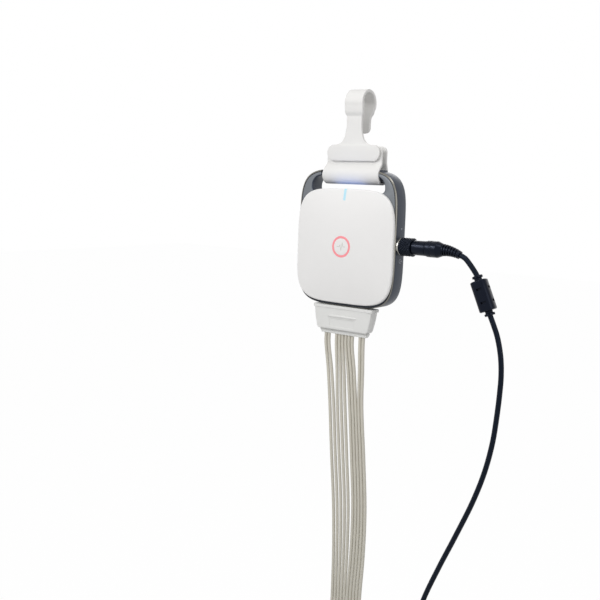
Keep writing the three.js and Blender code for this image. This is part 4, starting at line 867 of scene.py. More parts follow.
frame_outline = squircle(HALF_WIDTH, LOW_HEIGHT, RISE, count=320)
seat_y = FRONT_Y + SEAT_DEPTH
outer_rim = np.vstack([
    [[TRIM_SEAT + SEAT_ROUND, FRONT_Y],
     [TRIM_SEAT + SEAT_ROUND_MIDDLE, FRONT_Y + SEAT_ROUND_MIDDLE],
     [TRIM_SEAT, FRONT_Y + SEAT_ROUND], [TRIM_SEAT, seat_y],
     [SIDE_ROUND, seat_y], [SIDE_ROUND_MIDDLE, seat_y + SIDE_ROUND_MIDDLE]],
    rounded_rim(seat_y + SIDE_ROUND, BACK_Y, 0, BACK_ROUND, steps=7)])
slot_outline = round_box(
    -SLOT_HALF, SLOT_HALF, SLOT_LOW_Z, SLOT_HIGH_Z, SLOT_LOW_CORNER, SLOT_HIGH_CORNER)
frame_shell = plate(frame_outline, outer_rim, [
    (slot_outline, rounded_rim(FRONT_Y, BACK_Y, SLOT_ROUND, SLOT_ROUND)),
    (squircle(*CAVITY), rounded_rim(FRONT_Y, BACK_Y, 0, 0, 2))])
frame_piece = make_piece(
    "frame_ring", [frame_shell], [frame_abs, painted_lit_face_abs], "recorder", ("frame",))
grip_gap = block(
    (GRIP_X[0], FRONT_Y - CUT_OVERRUN, SLOT_HIGH_Z - CUT_OVERRUN),
    (GRIP_X[1], BACK_Y + CUT_OVERRUN, GRIP_TOP_Z + CUT_OVERRUN))
cut_away(frame_piece, [grip_gap])
clip_angle = math.degrees(math.asin((GRIP_TOP_Z - GRIP_MIDDLE[1]) / GRIP_RADIUS))
grip_outline = arc(GRIP_MIDDLE, GRIP_RADIUS, 180 - clip_angle, 360 + clip_angle, count=60)
grip_shell = plate(
    grip_outline, [[0, GRIP_X[0] - GRIP_ROOT], [0, GRIP_X[1] + GRIP_ROOT]], upright="x")
make_piece("handle_grip", [grip_shell], [frame_abs], "recorder")
print("frame faces:", len(frame_piece.data.polygons))

# %% [markdown]
# Two finishes on one piece need no second mesh: each face has the number of its
# material. The faces of the posts and of the bar look straight forward and lie high, so
# their normal and their middle tell them from the rest.
# %% Painted light on the handle's front faces
STRAIGHT = 0.99


def face_values(piece, key):
    """The normal or the center of each face of a piece, one row for a face."""
    values = np.empty(len(piece.data.polygons) * 3)
    piece.data.polygons.foreach_get(key, values)
    return values.reshape(-1, 3)


def painted_lit_faces(piece):
    """True for each face that looks straight forward and lies on the handle's part, where light is
    painted.
    """
    forward_faces = face_values(piece, "normal")[:, 1] < -STRAIGHT
    return forward_faces & (face_values(piece, "center")[:, 2] > place([0, 0, FACE_LOW_Z])[2])


# Painted light: the handle's forward faces take the lighter copy of the paint.
painted_lit_mask = painted_lit_faces(frame_piece)
frame_piece.data.polygons.foreach_set("material_index", painted_lit_mask.astype(int))
print("lighter faces of the frame:", int(painted_lit_mask.sum()))

# %% [markdown]
# The trim is a thin aluminium strip with one chamfer, pressed into the frame's front rim.
# Its section is carried round the frame's outline, and the band's gap is cut from it.
# The chamfer is cut bright all round. Beside the handle its front face gets the bright metal too, as a
# painted highlight of the light that it catches.
# %% Trim
TRIM_SECTION = [
    [1.5, 2.4], [1.5, 1.56], [1.44, 1.5], [0.72, 1.5], [0.03, 2.19], [0, 2.3], [0, 3.1],
    [0.75, 3.1], [1.5, 3.1], [1.5, 2.4]]
TRIM_EDGE_ROUND = 0.04
TRIM_SHARP = 20
CHAMFER_SLACK = 0.12

trim_rows = np.stack([
    at_level(moved_in(frame_outline, inset), level)
    for inset, level in soft_corners(TRIM_SECTION, TRIM_EDGE_ROUND, steps=3)[:-1]])
trim_ring = make_piece(
    "edge_trim_ring", [skin(trim_rows, wrap=True)], [dark_anodised, trim_aluminium], "recorder",
    ("edge_trim",), TRIM_SHARP)
cut_away(trim_ring, [grip_gap], TRIM_SHARP)
# Bright faces: the chamfer, which is cut bright, and the front faces beside the handle, where the
# highlight is painted.
chamfered = np.abs(face_values(trim_ring, "normal")[:, 1] + math.sqrt(0.5)) < CHAMFER_SLACK
bright = chamfered | painted_lit_faces(trim_ring)
trim_ring.data.polygons.foreach_set("material_index", bright.astype(int))
print("bright faces of the trim:", int(bright.sum()))

# %% [markdown]
# The cover is one crowned ABS shell. In the middle its level lines are circles, round the
# button, and at the edge they are the squircle, so the crown blends from one to the
# other. Its height follows a power of the way out: -1.6 - 3.4 * (1 - t^2.4).
# %% Front cover
COVER_HALF = 50.5
COVER_EDGE = 1.6
COVER_EDGE_Y = -1.6
CROWN = 3.4
CROWN_POWER = 2.4
COVER_RIM_Y = 1.2
COVER_WALL = 2
COVER_RIM_ROUND = 0.15
RING_OUTER = 9.4
RING_INNER = 7.5
HOLE_GAP = 0.03

flat_half = COVER_HALF - COVER_EDGE
edge_outline = squircle(flat_half, flat_half, count=320)
bearing = np.arctan2(edge_outline[:, 1], edge_outline[:, 0])
circle = flat_half * np.column_stack([np.cos(bearing), np.sin(bearing)])
hole_share = (RING_OUTER + HOLE_GAP) / flat_half
edge_turns = np.linspace(0, math.pi / 2, 8)[1:]


def crown_y(t):
    """Level of the cover's face at a share t of the way from its middle to its edge."""
    return COVER_EDGE_Y - CROWN * (1 - np.asarray(t) ** CROWN_POWER)


def cover_loop(t, lift=0.0):
    """One level line: the circle and the squircle mixed by how far out it is."""
    mix = eased(np.clip((t - hole_share) / (1 - hole_share), 0, 1))
    return at_level(t * blend(circle, edge_outline, mix), float(crown_y(t)) + lift)


def edge_loop(out, y):
    """A loop past the flat face's edge by a distance, at a level."""
    return at_level(moved_in(edge_outline, -out), y)


shares = np.linspace(hole_share, 1, 26)
cover_rows = [
    *[cover_loop(t) for t in shares],
    *[edge_loop(COVER_EDGE * math.sin(a), COVER_EDGE_Y + COVER_EDGE * (1 - math.cos(a)))
      for a in edge_turns],
    edge_loop(COVER_EDGE, COVER_RIM_Y - COVER_RIM_ROUND),
    edge_loop(COVER_EDGE - COVER_RIM_ROUND, COVER_RIM_Y),
    edge_loop(COVER_EDGE - COVER_WALL, COVER_RIM_Y),
    *[cover_loop(t, COVER_WALL) for t in shares[::-5]]]
make_piece(
    "front_cover_shell", [skin(cover_rows, wrap=True)], [white_abs], "recorder",
    ("front_cover",), sharp=40)
print("cover crown in mm:", round(float(crown_y(1) - crown_y(0)), 2))

# %% [markdown]
# The light bar lies in the cover's face and wraps over its top edge. It is a strip that
# follows the cover's own section at the middle, a hair proud of it. The ring and the
# button are turned: a half profile goes round the button's middle.
# %% Light bar, ring and button
BAR_START_Z = 40.5
BAR_END_Y = 0.6
BAR_HALF = 1.2
BAR_PROUD = 0.05
BAR_DEPTH = 0.6
RING_PROUD = 0.02
RING_DEPTH = 3
RING_EDGE_ROUND = 0.12
BUTTON_PROUD = 0.1
BUTTON_GAP = 0.06
BUTTON_RADIUS = RING_INNER - BUTTON_GAP
BUTTON_SKIRT = 2.2
BUTTON_EDGE_ROUND = 0.25
STEM_RADIUS = 2
STEM_END_Y = 3.5
BUTTON_AXIS = 0.02


def bar_section(proud):
    """(y, z) places along the cover's section from the bar's lower end over the edge."""
    t = np.linspace(BAR_START_Z / flat_half, 1, 16)
    face = np.column_stack([crown_y(t) - proud, t * flat_half])
    radius = COVER_EDGE + proud
    edge = np.column_stack([
        COVER_EDGE_Y + COVER_EDGE - radius * np.cos(edge_turns),
        flat_half + radius * np.sin(edge_turns)])
    return np.vstack([face, edge, [[BAR_END_Y, COVER_HALF + proud]]])


bar_loop = np.vstack([bar_section(BAR_PROUD), bar_section(-BAR_DEPTH)[::-1]])
bar_rows = np.stack([
    np.column_stack([np.full(len(bar_loop), x), bar_loop])
    for x in np.linspace(-BAR_HALF, BAR_HALF, 5)])
make_piece(
    "light_bar_guide", [skin(bar_rows)], [blue_light], "recorder", ("light_bar",))

face_y = float(crown_y(0))
ring_y = face_y - RING_PROUD
ring_profile = soft_corners([
    [face_y + RING_DEPTH, RING_INNER], [ring_y, RING_INNER], [ring_y, RING_OUTER],
    [face_y + RING_DEPTH, RING_OUTER]], RING_EDGE_ROUND)
make_piece(
    "start_light_ring", [turned(ring_profile, (0, 0, 0), "y", sides=128)], [red_light], "recorder",
    ("button_light_ring",))

button_y, skirt_y = face_y - BUTTON_PROUD, face_y + BUTTON_SKIRT
button_profile = soft_corners([
    [button_y, BUTTON_AXIS], [button_y, BUTTON_RADIUS], [skirt_y, BUTTON_RADIUS],
    [skirt_y, STEM_RADIUS], [STEM_END_Y, STEM_RADIUS], [STEM_END_Y, BUTTON_AXIS]],
    BUTTON_EDGE_ROUND, steps=5)
make_piece(
    "start_button_cap", [turned(button_profile, (0, 0, 0), "y", sides=128)], [white_abs], "button",
    ("start_button",))
print("button diameter in mm:", 2 * BUTTON_RADIUS)

# %% [markdown]
# The button's face has a printed pulse mark, which any such machine may have on its start
# button. Ink is a thin, matt layer, so the mark is a flat ribbon a hair above the face,
# and the same function draws the marks on the side.
# %% Pulse mark on the button
PULSE = np.array([
    [-4.4, 0], [-1.9, 0], [-1.1, 1.5], [0.0, -3.0], [1.2, 3.4], [2.0, 0], [4.4, 0]])
PULSE_WIDTH = 0.42
PULSE_LIFT = 0.12
PULSE_INK = 0.04
mark_grey = moulded("printed_grey_ink", ("#c6c5bd", "#c2c1b9"), 0.6, 0.3, 0.001)


def inked_line(points, width, y, thickness):
    """A flat ribbon of ink along a line: each place is pushed to both sides by half the
    width along the mitre of its two steps, and given a small thickness."""
    normal = left_normals(np.diff(points, axis=0))
    mitre = mitred(np.vstack([normal[:1], normal]), np.vstack([normal, normal[-1:]]))
    left, right = points + mitre * width / 2, points - mitre * width / 2
    return skin(np.stack([
        at_level(left, y), at_level(left, y + thickness), at_level(right, y + thickness),
        at_level(right, y)], axis=1))


pulse_shell = inked_line(PULSE, PULSE_WIDTH, face_y - PULSE_LIFT, PULSE_INK)
make_piece("start_pulse_mark", [pulse_shell], [mark_grey], "button")
print("pulse mark faces:", len(pulse_shell[1]))

# %% [markdown]
# The back cover is a plain grained plate with a round hole over each screw, and the
# screws sit in them a little below its face. A cross-head screw is a plate with a cross
# cut through it over a small disc.
# %% Back cover and its screws
SCREW_PLACES = [(-35, 32), (35, 32), (-35, -37), (35, -37)]
BACK_PLATE = (47.6, 47.25, 0.0, -2.35)
BACK_PLATE_Y = 15.3
BACK_PLATE_ROUND = 0.35
HOLE_RADIUS = 2.9
HOLE_ROUND = 0.3
HEAD_RADIUS = 2.6
HEAD_Y = (15.9, 16.7)
HEAD_ROUND = 0.35
CROSS_ARM = 1.45
CROSS_HALF = 0.33
CROSS_ROUND = 0.05
CROSS_FLOOR_Y = 15.6
SHANK_PROFILE = [[5.3, 0.6], [6, 1], [15.6, 1]]

hole_rim = rounded_rim(BACK_PLATE_Y, BACK_Y, 0, HOLE_ROUND)
back_shell = plate(
    squircle(*BACK_PLATE), rounded_rim(BACK_PLATE_Y, BACK_Y, 0, BACK_PLATE_ROUND),
    [(round_outline(HOLE_RADIUS, middle), hole_rim) for middle in SCREW_PLACES])
make_piece("back_plate", [back_shell], [back_abs], "recorder", ("back_cover",))
quarter = np.array([[CROSS_ARM, -CROSS_HALF], [CROSS_ARM, CROSS_HALF], [CROSS_HALF, CROSS_HALF]])
cross = np.vstack([
    quarter @ np.array([[math.cos(a), math.sin(a)], [-math.sin(a), math.cos(a)]])
    for a in np.arange(4) * math.pi / 2])


def screw_shells(middle):
    """Head with its cross, the disc that floors the cross, and the shank."""
    head = plate(
        round_outline(HEAD_RADIUS, middle), rounded_rim(*HEAD_Y, 0, HEAD_ROUND),
        [(cross + middle, rounded_rim(*HEAD_Y, 0, CROSS_ROUND, steps=3))])
    axis = (middle[0], 0, middle[1])
    floor = turned([[CROSS_FLOOR_Y, HEAD_RADIUS], [HEAD_Y[0], HEAD_RADIUS]], axis, "y", sides=48)
    return [head, floor, turned(SHANK_PROFILE, axis, "y", sides=24)]


for number, middle in enumerate(SCREW_PLACES, 1):
    make_piece(
        f"cross_screw_{number}", screw_shells(middle), [screw_steel], "recorder",
        (f"back_screw_{number}",))
print("screws:", len(SCREW_PLACES))

# %% [markdown]
# On the frame's right side are two small printed marks by the port: a pointer above it
# and a round arrow below it. They are flat pieces of ink a hair above the paint.
# %% Marks beside the port
SIDE_LIFT = 0.03
SIDE_INK = 0.05
SIDE_LINE_WIDTH = 0.32
POINTER = np.array([[10.9, 16.9], [11.6, 18.9], [10.2, 18.9]])
ROUND_ARROW = [
    arc((11.0, -9.6), 1.7, 50, 310, 24), np.array([[11.4, -9.6], [14.0, -9.6]]),
    np.array([[13.2, -8.8], [14.0, -9.6], [13.2, -10.4]])]
side_ink = moulded("pale_side_ink", ("#b9bdc4", "#b3b7be"), 0.6, 0.3, 0.001)


def on_side(shell):
    """Turns a mark drawn in x and z to lie on the frame's right side."""
    points, faces = shell
    x = HALF_WIDTH + SIDE_LIFT - points[:, 1]
    return np.column_stack([x, points[:, 0], points[:, 2]]), faces


mark_shells = [
    plate(POINTER, [[0, 0], [0, SIDE_INK]]),
    *[inked_line(line, SIDE_LINE_WIDTH, 0.0, SIDE_INK) for line in ROUND_ARROW]]
make_piece(
    "side_marks", [on_side(shell) for shell in mark_shells], [side_ink], "recorder")
print("side marks:", len(mark_shells), "shells")

# %% [markdown]
# The port is a nickelled flange with a deep bore. The plug in it is turned in steps: a
# nose in the bore, a body, a wider collar with a groove before it, and a taper. Each
# place of a profile is its distance along the plug and its radius there, and a profile
# stops a hair from the axis, where a small cap closes it.
# %% Port and plug
PORT_AXIS = (0, CABLE_Y, PORT_Z)
AXIS = 0.05
PORT_PROFILE = [
    [43.2, AXIS], [43.2, 4.9], [53.0, 4.9], [53.3, 5.3], [53.3, 7.2], [53.0, 7.5], [51.6, 7.5],
    [50.9, 7.3], [50.9, 5.9], [41.0, 5.9], [41.0, AXIS]]
PORT_ROUND = 0.12
PLUG_PROFILE = [
    [43.3, AXIS], [43.3, 4.3], [43.8, 4.5], [64.9, 4.5], [64.9, 6.0], [65.2, 6.3], [76.9, 6.3],
    [77.1, 5.9], [78.0, 5.9], [78.3, 6.6], [78.7, 7.0], [82.4, 7.0], [82.6, 6.75], [83.3, 6.75],
    [83.5, 7.0], [87.9, 7.0], [88.3, 6.85], [92.3, 5.3], [92.5, 5.1], [92.5, AXIS]]
PLUG_ROUND = 0.14

port_shell = turned(soft_corners(PORT_PROFILE, PORT_ROUND), PORT_AXIS, "x", sides=96)
make_piece("port_flange", [port_shell], [nickel], "recorder", ("port_socket",))
plug_shell = turned(soft_corners(PLUG_PROFILE, PLUG_ROUND), PORT_AXIS, "x", sides=96)
make_piece("round_plug", [plug_shell], [black_abs], "cable_plug", ("plug_body",))
print("plug reaches from", PLUG_PROFILE[0][0], "to", PLUG_PROFILE[-1][0], "mm")

# %% [markdown]
# A knurl is a pattern of small diamonds that two sets of crossing grooves leave. On the
# lock ring the radius is the crest's less a depth that follows the product of two waves,
# one round the ring and one along it, and it fades out before the smooth rims.
# %% Lock ring
LOCK_START_X = 53.6
LOCK_LENGTH = 11
LOCK_RADIUS = 8
LOCK_INNER = 5.75
LOCK_RIM_LENGTH = 0.2
LOCK_RIM_DROP = 0.35
KNURLS_ROUND = 20
KNURLS_ALONG = 4
KNURL_DEPTH = 0.75
CREST_DROP = 0.1
FADE_START_SHARE = 0.05
FADE_SHARE = 0.04

angle = all_round(208)
along = np.linspace(0, 1, 65)[:, None]
wave, climb = KNURLS_ROUND / 2 * angle, KNURLS_ALONG * math.pi * along
diamonds = np.abs(np.sin(wave + climb) * np.sin(wave - climb))
from_rim = 0.5 - np.abs(along - 0.5)
fade = np.clip((from_rim - FADE_START_SHARE) / FADE_SHARE, 0, 1)
crest = LOCK_RADIUS - CREST_DROP
knurl_radius = crest - (KNURL_DEPTH - CREST_DROP) * (1 - np.sqrt(diamonds)) * fade
knurl_x = LOCK_START_X + LOCK_RIM_LENGTH + (LOCK_LENGTH - 2 * LOCK_RIM_LENGTH) * along
rim_radius, lock_end_x = LOCK_RADIUS - LOCK_RIM_DROP, LOCK_START_X + LOCK_LENGTH
rim = np.array([
    [lock_end_x, rim_radius], [lock_end_x, LOCK_INNER], [LOCK_START_X, LOCK_INNER],
    [LOCK_START_X, rim_radius]])
lock_rows = np.concatenate([
    round_rows(knurl_x, knurl_radius, angle), round_rows(rim[:, :1], rim[:, 1:], angle)])
make_piece(
    "knurled_lock_ring", [skin(lock_rows + np.asarray(PORT_AXIS), wrap=True)], [knurl_abs],
    "plug_lock_ring", ("lock_ring",), sharp=50)
print("knurls round the ring:", KNURLS_ROUND)

# %% [markdown]
# The strain relief bends with the cable, so its rings stand square to a line that drops
# as the square of the way along. Its ribs leave slots between them above and below, and
# a web joins them at the front and the back: the surface is low only where neither is.
# %% Strain relief
RELIEF_RADII = (5.2, 3.4)
SLOT_DEPTH = 1.3
SLOTS = 6
SLOTS_START = 0.03
SLOTS_END = 0.9
HALF_RIB = 0.2
SLOT_WALL = 0.05
WEB_HALF_WIDTH = 0.1
WEB_WALL = 0.08

t = np.linspace(0, 1, 181)[:, None]
theta = all_round(96)
slope = np.arctan2(-2 * RELIEF_DROP * t, RELIEF_LENGTH)
slot_turn = (t - SLOTS_START) / (SLOTS_END - SLOTS_START) * SLOTS
in_row = (slot_turn > 0) & (slot_turn < SLOTS)
from_rib = 0.5 - np.abs(slot_turn % 1 - 0.5) - HALF_RIB
in_slot = np.clip(from_rib / SLOT_WALL, 0, 1) * in_row
off_web = np.clip((np.abs(np.sin(theta)) - WEB_HALF_WIDTH) / WEB_WALL, 0, 1)
relief_radius = blend(*RELIEF_RADII, t) - SLOT_DEPTH * in_slot * off_web
lift = relief_radius * np.sin(theta)
relief_rows = np.stack([
    RELIEF_START_X + RELIEF_LENGTH * t - lift * np.sin(slope),
    CABLE_Y + relief_radius * np.cos(theta),
    PORT_Z - RELIEF_DROP * t ** 2 + lift * np.cos(slope)], axis=-1)
make_piece(
    "ribbed_strain_relief", [skin(relief_rows)], [black_abs], "cable_plug",
    ("plug_strain_relief",), sharp=45)
print("slots of the strain relief:", SLOTS)

# %% [markdown]
# The ferrite's case is made upright, then turned a little about itself and leant to lie
# along the cable. Its section is between a circle and a square, a squircle again, with a
# fine seam on two sides.
# %% Section and lie of the ferrite
CASE_POWER = 2.9
CASE_TURN = math.radians(9)
SEAM_DEPTH = 0.22
SEAM_WIDTH_SHARE = 0.04
lean = math.atan2(FERRITE_RUN[0], -FERRITE_RUN[1])


def rotated(x, y, angle):
    """Two coordinates turned by an angle: x cos - y sin, and x sin + y cos."""
    return x * math.cos(angle) - y * math.sin(angle), x * math.sin(angle) + y * math.cos(angle)


def leant(shell):
    """A shell given along the ferrite's own axis, turned about it and laid on the cable."""
    points, faces = shell
    x, y = rotated(points[:, 0], points[:, 1], CASE_TURN)
    x, z = rotated(x, points[:, 2], lean)
    return np.column_stack([FERRITE_MIDDLE[0] + x, CABLE_Y + y, FERRITE_MIDDLE[1] + z]), faces


case_angle = all_round(128)
c, s = np.cos(case_angle), np.sin(case_angle)
square = 1 / (np.abs(c) ** CASE_POWER + np.abs(s) ** CASE_POWER) ** (1 / CASE_POWER)
seam = SEAM_DEPTH * np.exp(-((c / SEAM_WIDTH_SHARE) ** 2))


def case_rows(z, radius):
    """Rows of the case or a collar: places z along it, and radii at the case's angles."""
    return round_rows(z, radius, case_angle)[..., [1, 2, 0]]


print("ferrite leans", round(math.degrees(lean), 1), "degrees")

# %% [markdown]
# The case is a two-part snap case: a tube with slots for the snaps. At both ends a narrow
# neck carries a collar that grips the cable.
# %% Ferrite case
CASE_HALF = 12.9
CASE_RADIUS = 6.9
CASE_BORE = 2.6
CASE_END_RADIUS = 6.2
CASE_END_LENGTH = 0.7
CASE_ROUND = 0.3
CASE_CORE = 3
SEAM_FROM_RADIUS = 5
COLLAR_PROFILE = [
    [12.4, 2.4], [12.4, 3.2], [14.8, 3.2], [15.0, 4.35], [16.6, 4.35], [17, 4.0], [17, 2.4]]
COLLAR_ROUND = 0.2
NOTCH_RADII = (3.5, 4.4)
NOTCH_SHARE = 0.5
SNAP_HALF_WIDTH = 2.3
SNAP_HALF_HEIGHT = 0.9
SNAP_DEPTH = 2.4
SNAP_OVERRUN = 1
SNAP_Z = 5.6


def case_shell():
    """The body: a profile turned with a radius that swells towards the four corners."""
    end = CASE_HALF - CASE_END_LENGTH
    profile = soft_corners([
        [-CASE_HALF, CASE_BORE], [-CASE_HALF, CASE_END_RADIUS], [-end, CASE_RADIUS],
        [end, CASE_RADIUS], [CASE_HALF, CASE_END_RADIUS], [CASE_HALF, CASE_BORE]], CASE_ROUND)
    z, r = profile[:, :1], profile[:, 1:]
    squareness = np.clip((r - CASE_CORE) / CASE_CORE, 0, 1)
    r = r * (1 + (square - 1) * squareness) - seam * (r > SEAM_FROM_RADIUS)
    return leant(skin(case_rows(z, r)))


def collar_shell(sign):
    """The neck and collar at one end: a ring with four notches in its outer edge."""
    profile = soft_corners(COLLAR_PROFILE, COLLAR_ROUND)
    notch = 1 - np.exp(-((np.sin(2 * case_angle) / NOTCH_SHARE) ** 6))
    radius = np.minimum(profile[:, 1:], blend(*NOTCH_RADII, notch))
    return leant(skin(case_rows(sign * profile[:, :1], radius)))


def snap_slot(quarter, z):
    """A box that cuts one slot, on one of the four sides, at a place along the case."""
    points, faces = block(
        (-SNAP_HALF_WIDTH, -CASE_RADIUS - SNAP_OVERRUN, z - SNAP_HALF_HEIGHT),
        (SNAP_HALF_WIDTH, -CASE_RADIUS + SNAP_DEPTH, z + SNAP_HALF_HEIGHT))
    x, y = rotated(points[:, 0], points[:, 1], quarter * math.pi / 2)
    return leant((np.column_stack([x, y, points[:, 2]]), faces))


ferrite = make_piece(
    "ferrite_snap_case", [case_shell()], [black_abs], "cable_plug",
    ("ferrite_case",), sharp=40)
cut_away(
    ferrite, [snap_slot(quarter, z) for quarter in range(4) for z in (-SNAP_Z, SNAP_Z)], sharp=40)
collars = make_piece(
    "ferrite_collars", [collar_shell(1), collar_shell(-1)], [black_abs], "cable_plug")
print("ferrite faces with its slots:", len(ferrite.data.polygons))

# %% [markdown]
# The lead block is two ABS shells that meet at the sides. Each is a stack of level
# sections: a U with round corners whose width follows the block's curved sides and whose
# face steps out at the lip.
# %% Sections of the lead block
BLOCK_TOP_Z = -53.5
BLOCK_BOTTOM_Z = -75.2
BLOCK_FRONT_Y = 0.9
BLOCK_BACK_Y = 12.4
BLOCK_SEAM_Y = 6.6
BLOCK_JOINT = 0.1
BLOCK_RIM = 0.6
BACK_TAPER = 1.7
LIP_Z = -56.2
LIP_HALF = 31.4
LIP_PROUD = 0.6
LIP_STEPS = (
    (LIP_Z, 0.45), (LIP_Z + 0.15, LIP_PROUD), (BLOCK_TOP_Z - 0.4, LIP_PROUD),
    (BLOCK_TOP_Z - 0.1, 0.5), (BLOCK_TOP_Z, 0.2))
CORNER = 1.3
side_z = np.array([BLOCK_BOTTOM_Z, -74.1, -68.3, -61.7, BLOCK_TOP_Z])
side_x = np.array([25.4, 26.9, 28.5, 29.7, 30.4])
side_line = smooth_line(np.column_stack([side_z, side_x]), steps=8)


def block_half_width(z):
    """Half the block's width at a level, from its smooth side line."""
    return np.interp(z, side_line[:, 0], side_line[:, 1])


def u_section(half, seam_y, face_y, z):
    """Half section of the block at a level: up one side, round two corners and back."""
    sign = math.copysign(1, face_y - seam_y)
    radius = min(CORNER, abs(face_y - seam_y) - BLOCK_JOINT)
    a = np.linspace(0, math.pi / 2, 7)
    corner_x = half - radius + radius * np.cos(a)
    corner_y = face_y - sign * radius + sign * radius * np.sin(a)
    x = np.concatenate([[half], corner_x, -corner_x[::-1], [-half]])
    y = np.concatenate([[seam_y], corner_y, corner_y[::-1], [seam_y]])
    return np.column_stack([x, y, np.full(len(x), z)])


def block_half(seam_y, face_y, sign, taper):
    """One shell: sections from the bottom rim up to the lip, which stands proud."""
    body_z = np.linspace(BLOCK_BOTTOM_Z + BLOCK_RIM, LIP_Z, 24)
    a = np.linspace(0, math.pi / 2, 5)[:-1]
    rim_z = BLOCK_BOTTOM_Z + BLOCK_RIM * (1 - np.cos(a))
    insets = np.append(BLOCK_RIM * (1 - np.sin(a)), np.zeros(len(body_z)))
    rows = []
    for z, inset in zip(np.append(rim_z, body_z), insets):
        lean_in = taper * (LIP_Z - z) / (LIP_Z - BLOCK_BOTTOM_Z)
        rows.append(
            u_section(block_half_width(z) - inset, seam_y, face_y - sign * (lean_in + inset), z))
    for z, out in LIP_STEPS:
        half = LIP_HALF - LIP_PROUD + out
        rows.append(u_section(half, seam_y, face_y + sign * (out - BLOCK_JOINT), z))
    return skin(rows)


print("block is", round(float(2 * block_half_width(LIP_Z)), 1), "mm wide under its lip")

# %% [markdown]
# A ridge for the thumb stands on the front shell, over a sunk panel. The back shell
# carries the tongue that goes up into the recorder's socket. Both shells are of the ABS
# that connectors are moulded in, whose pale grey stands out a little from the cover.
# %% Lead block
RIDGE = (-15.2, 15.2, -63.8, -62.3)
RIDGE_Y = (0.1, 1.4)
RIDGE_ROUND = 0.45
PANEL = (-13, 13, -72.8, -65, 0.8)
PANEL_Y = (-2, 1.3)
PANEL_ROUND = 0.15
TONGUE = (-20, 20, -56, -44.6, 0.6)
TONGUE_Y = (4.8, 8.4)
TONGUE_ROUND = 0.3

front_half = block_half(BLOCK_SEAM_Y - BLOCK_JOINT, BLOCK_FRONT_Y, -1, 0)
block_front = make_piece(
    "lead_block_front_shell", [front_half], [connector_abs], "lead_set",
    ("lead_block_front",))
ridge_radius = (RIDGE[3] - RIDGE[2]) / 2 - 0.01
ridge = plate(round_box(*RIDGE, ridge_radius), rounded_rim(*RIDGE_Y, RIDGE_ROUND, 0))
make_piece("lead_block_ridge", [ridge], [connector_abs], "lead_set")
cut_away(block_front, [plate(round_box(*PANEL), rounded_rim(*PANEL_Y, 0, PANEL_ROUND))])
print("block front faces after the panel's cut:", len(block_front.data.polygons))

back_half = block_half(BLOCK_SEAM_Y + BLOCK_JOINT, BLOCK_BACK_Y, 1, BACK_TAPER)
tongue = plate(round_box(*TONGUE), rounded_rim(*TONGUE_Y, TONGUE_ROUND, TONGUE_ROUND))
make_piece(
    "lead_block_back_shell", [back_half, tongue], [connector_abs], "lead_set",
    ("lead_block_back",))

# %% [markdown]
# The leads come out of a narrow bar below the block. Two fine joints part it into three,
# one part for each group of leads.
# %% Exit bar
EXIT_TOP_Z = -75.5
EXIT_BOTTOM_Z = -79.5
EXIT_Y = (4.2, 9.0)
EXIT_ROUND = 0.4
EXIT_CORNER = 0.35
EXIT_JOINTS = [(-25.7, -23.6), (-12.6, -12.6), (12.6, 12.6), (25.7, 23.6)]
NECK = (-21.2, 21.2, -76.5, -70.5, 0.3)
NECK_Y = (5.1, 8.1)
NECK_ROUND = 0.2


def exit_part(low, high):
    """A part of the bar between two (top, bottom) pairs of x, with round rims."""
    outline = np.array([
        [low[1], EXIT_BOTTOM_Z], [high[1], EXIT_BOTTOM_Z], [high[0], EXIT_TOP_Z],
        [low[0], EXIT_TOP_Z]])
    closed = soft_corners(np.vstack([outline[-1:], outline, outline[:1]]), EXIT_CORNER, 5)[1:-1]
    return plate(closed, rounded_rim(*EXIT_Y, EXIT_ROUND, EXIT_ROUND))


parts = [exit_part(low, high) for low, high in zip(EXIT_JOINTS, EXIT_JOINTS[1:])]
neck = plate(round_box(*NECK), rounded_rim(*NECK_Y, NECK_ROUND, NECK_ROUND))
make_piece(
    "lead_exit_strip", [*parts, neck], [connector_abs], "lead_set",
    ("lead_exit_bar",))
print("parts of the exit bar:", len(parts))

# %% [markdown]
# The hanger and the band are straps: a ribbon whose middle line lies in the plane of y
# and z and whose width changes along it. Each place on the line carries a section, a
# flat rounded rectangle, and close to both ends the section shrinks, so that the ends
# are rounded like the edges.
# %% Strap helper


def strap_rows(line, half_widths, thickness, edge):
    """Rows of sections. line: (y, z) places; half_widths and thickness: one for each place;
    the section's corners and both ends of the strap are rounded by edge."""
    normal = left_normals(np.gradient(line, axis=0))[:, None]
    reach = reach_along(line)
    from_end = np.minimum(reach, reach[-1] - reach)
    inset = edge - np.sqrt(np.maximum(edge ** 2 - np.maximum(edge - from_end, 0) ** 2, 0))
    half = (half_widths - inset - edge)[:, None]
    deep = (thickness / 2 - inset - edge)[:, None]
    a = np.linspace(0, math.pi / 2, 6)
    ca, sa = edge * np.cos(a), edge * np.sin(a)
    x = np.hstack([half + ca, -(half + sa), -(half + ca), half + sa])
    d = np.hstack([deep + sa, deep + ca, -(deep + sa), -(deep + ca)])
    return np.dstack([x, line[:, None] + d[..., None] * normal])


def round_end(half_width, corner, past):
    """Half width of a strap whose end has round corners, at a way past their start."""
    return half_width - corner + np.sqrt(corner ** 2 - np.clip(past, 0, corner) ** 2)


def end_dense(line, step, edge):
    """Even places along a line, with extra ones close to both ends for the rounding."""
    reach = reach_along(line)
    close = edge * (1 - np.cos(np.linspace(0, math.pi / 2, 7)))
    body = np.linspace(edge, reach[-1] - edge, max(2, round(reach[-1] / step)))[1:-1]
    marks = np.concatenate([close, body, reach[-1] - close[::-1]])
    return at_marks(line, reach, marks), marks


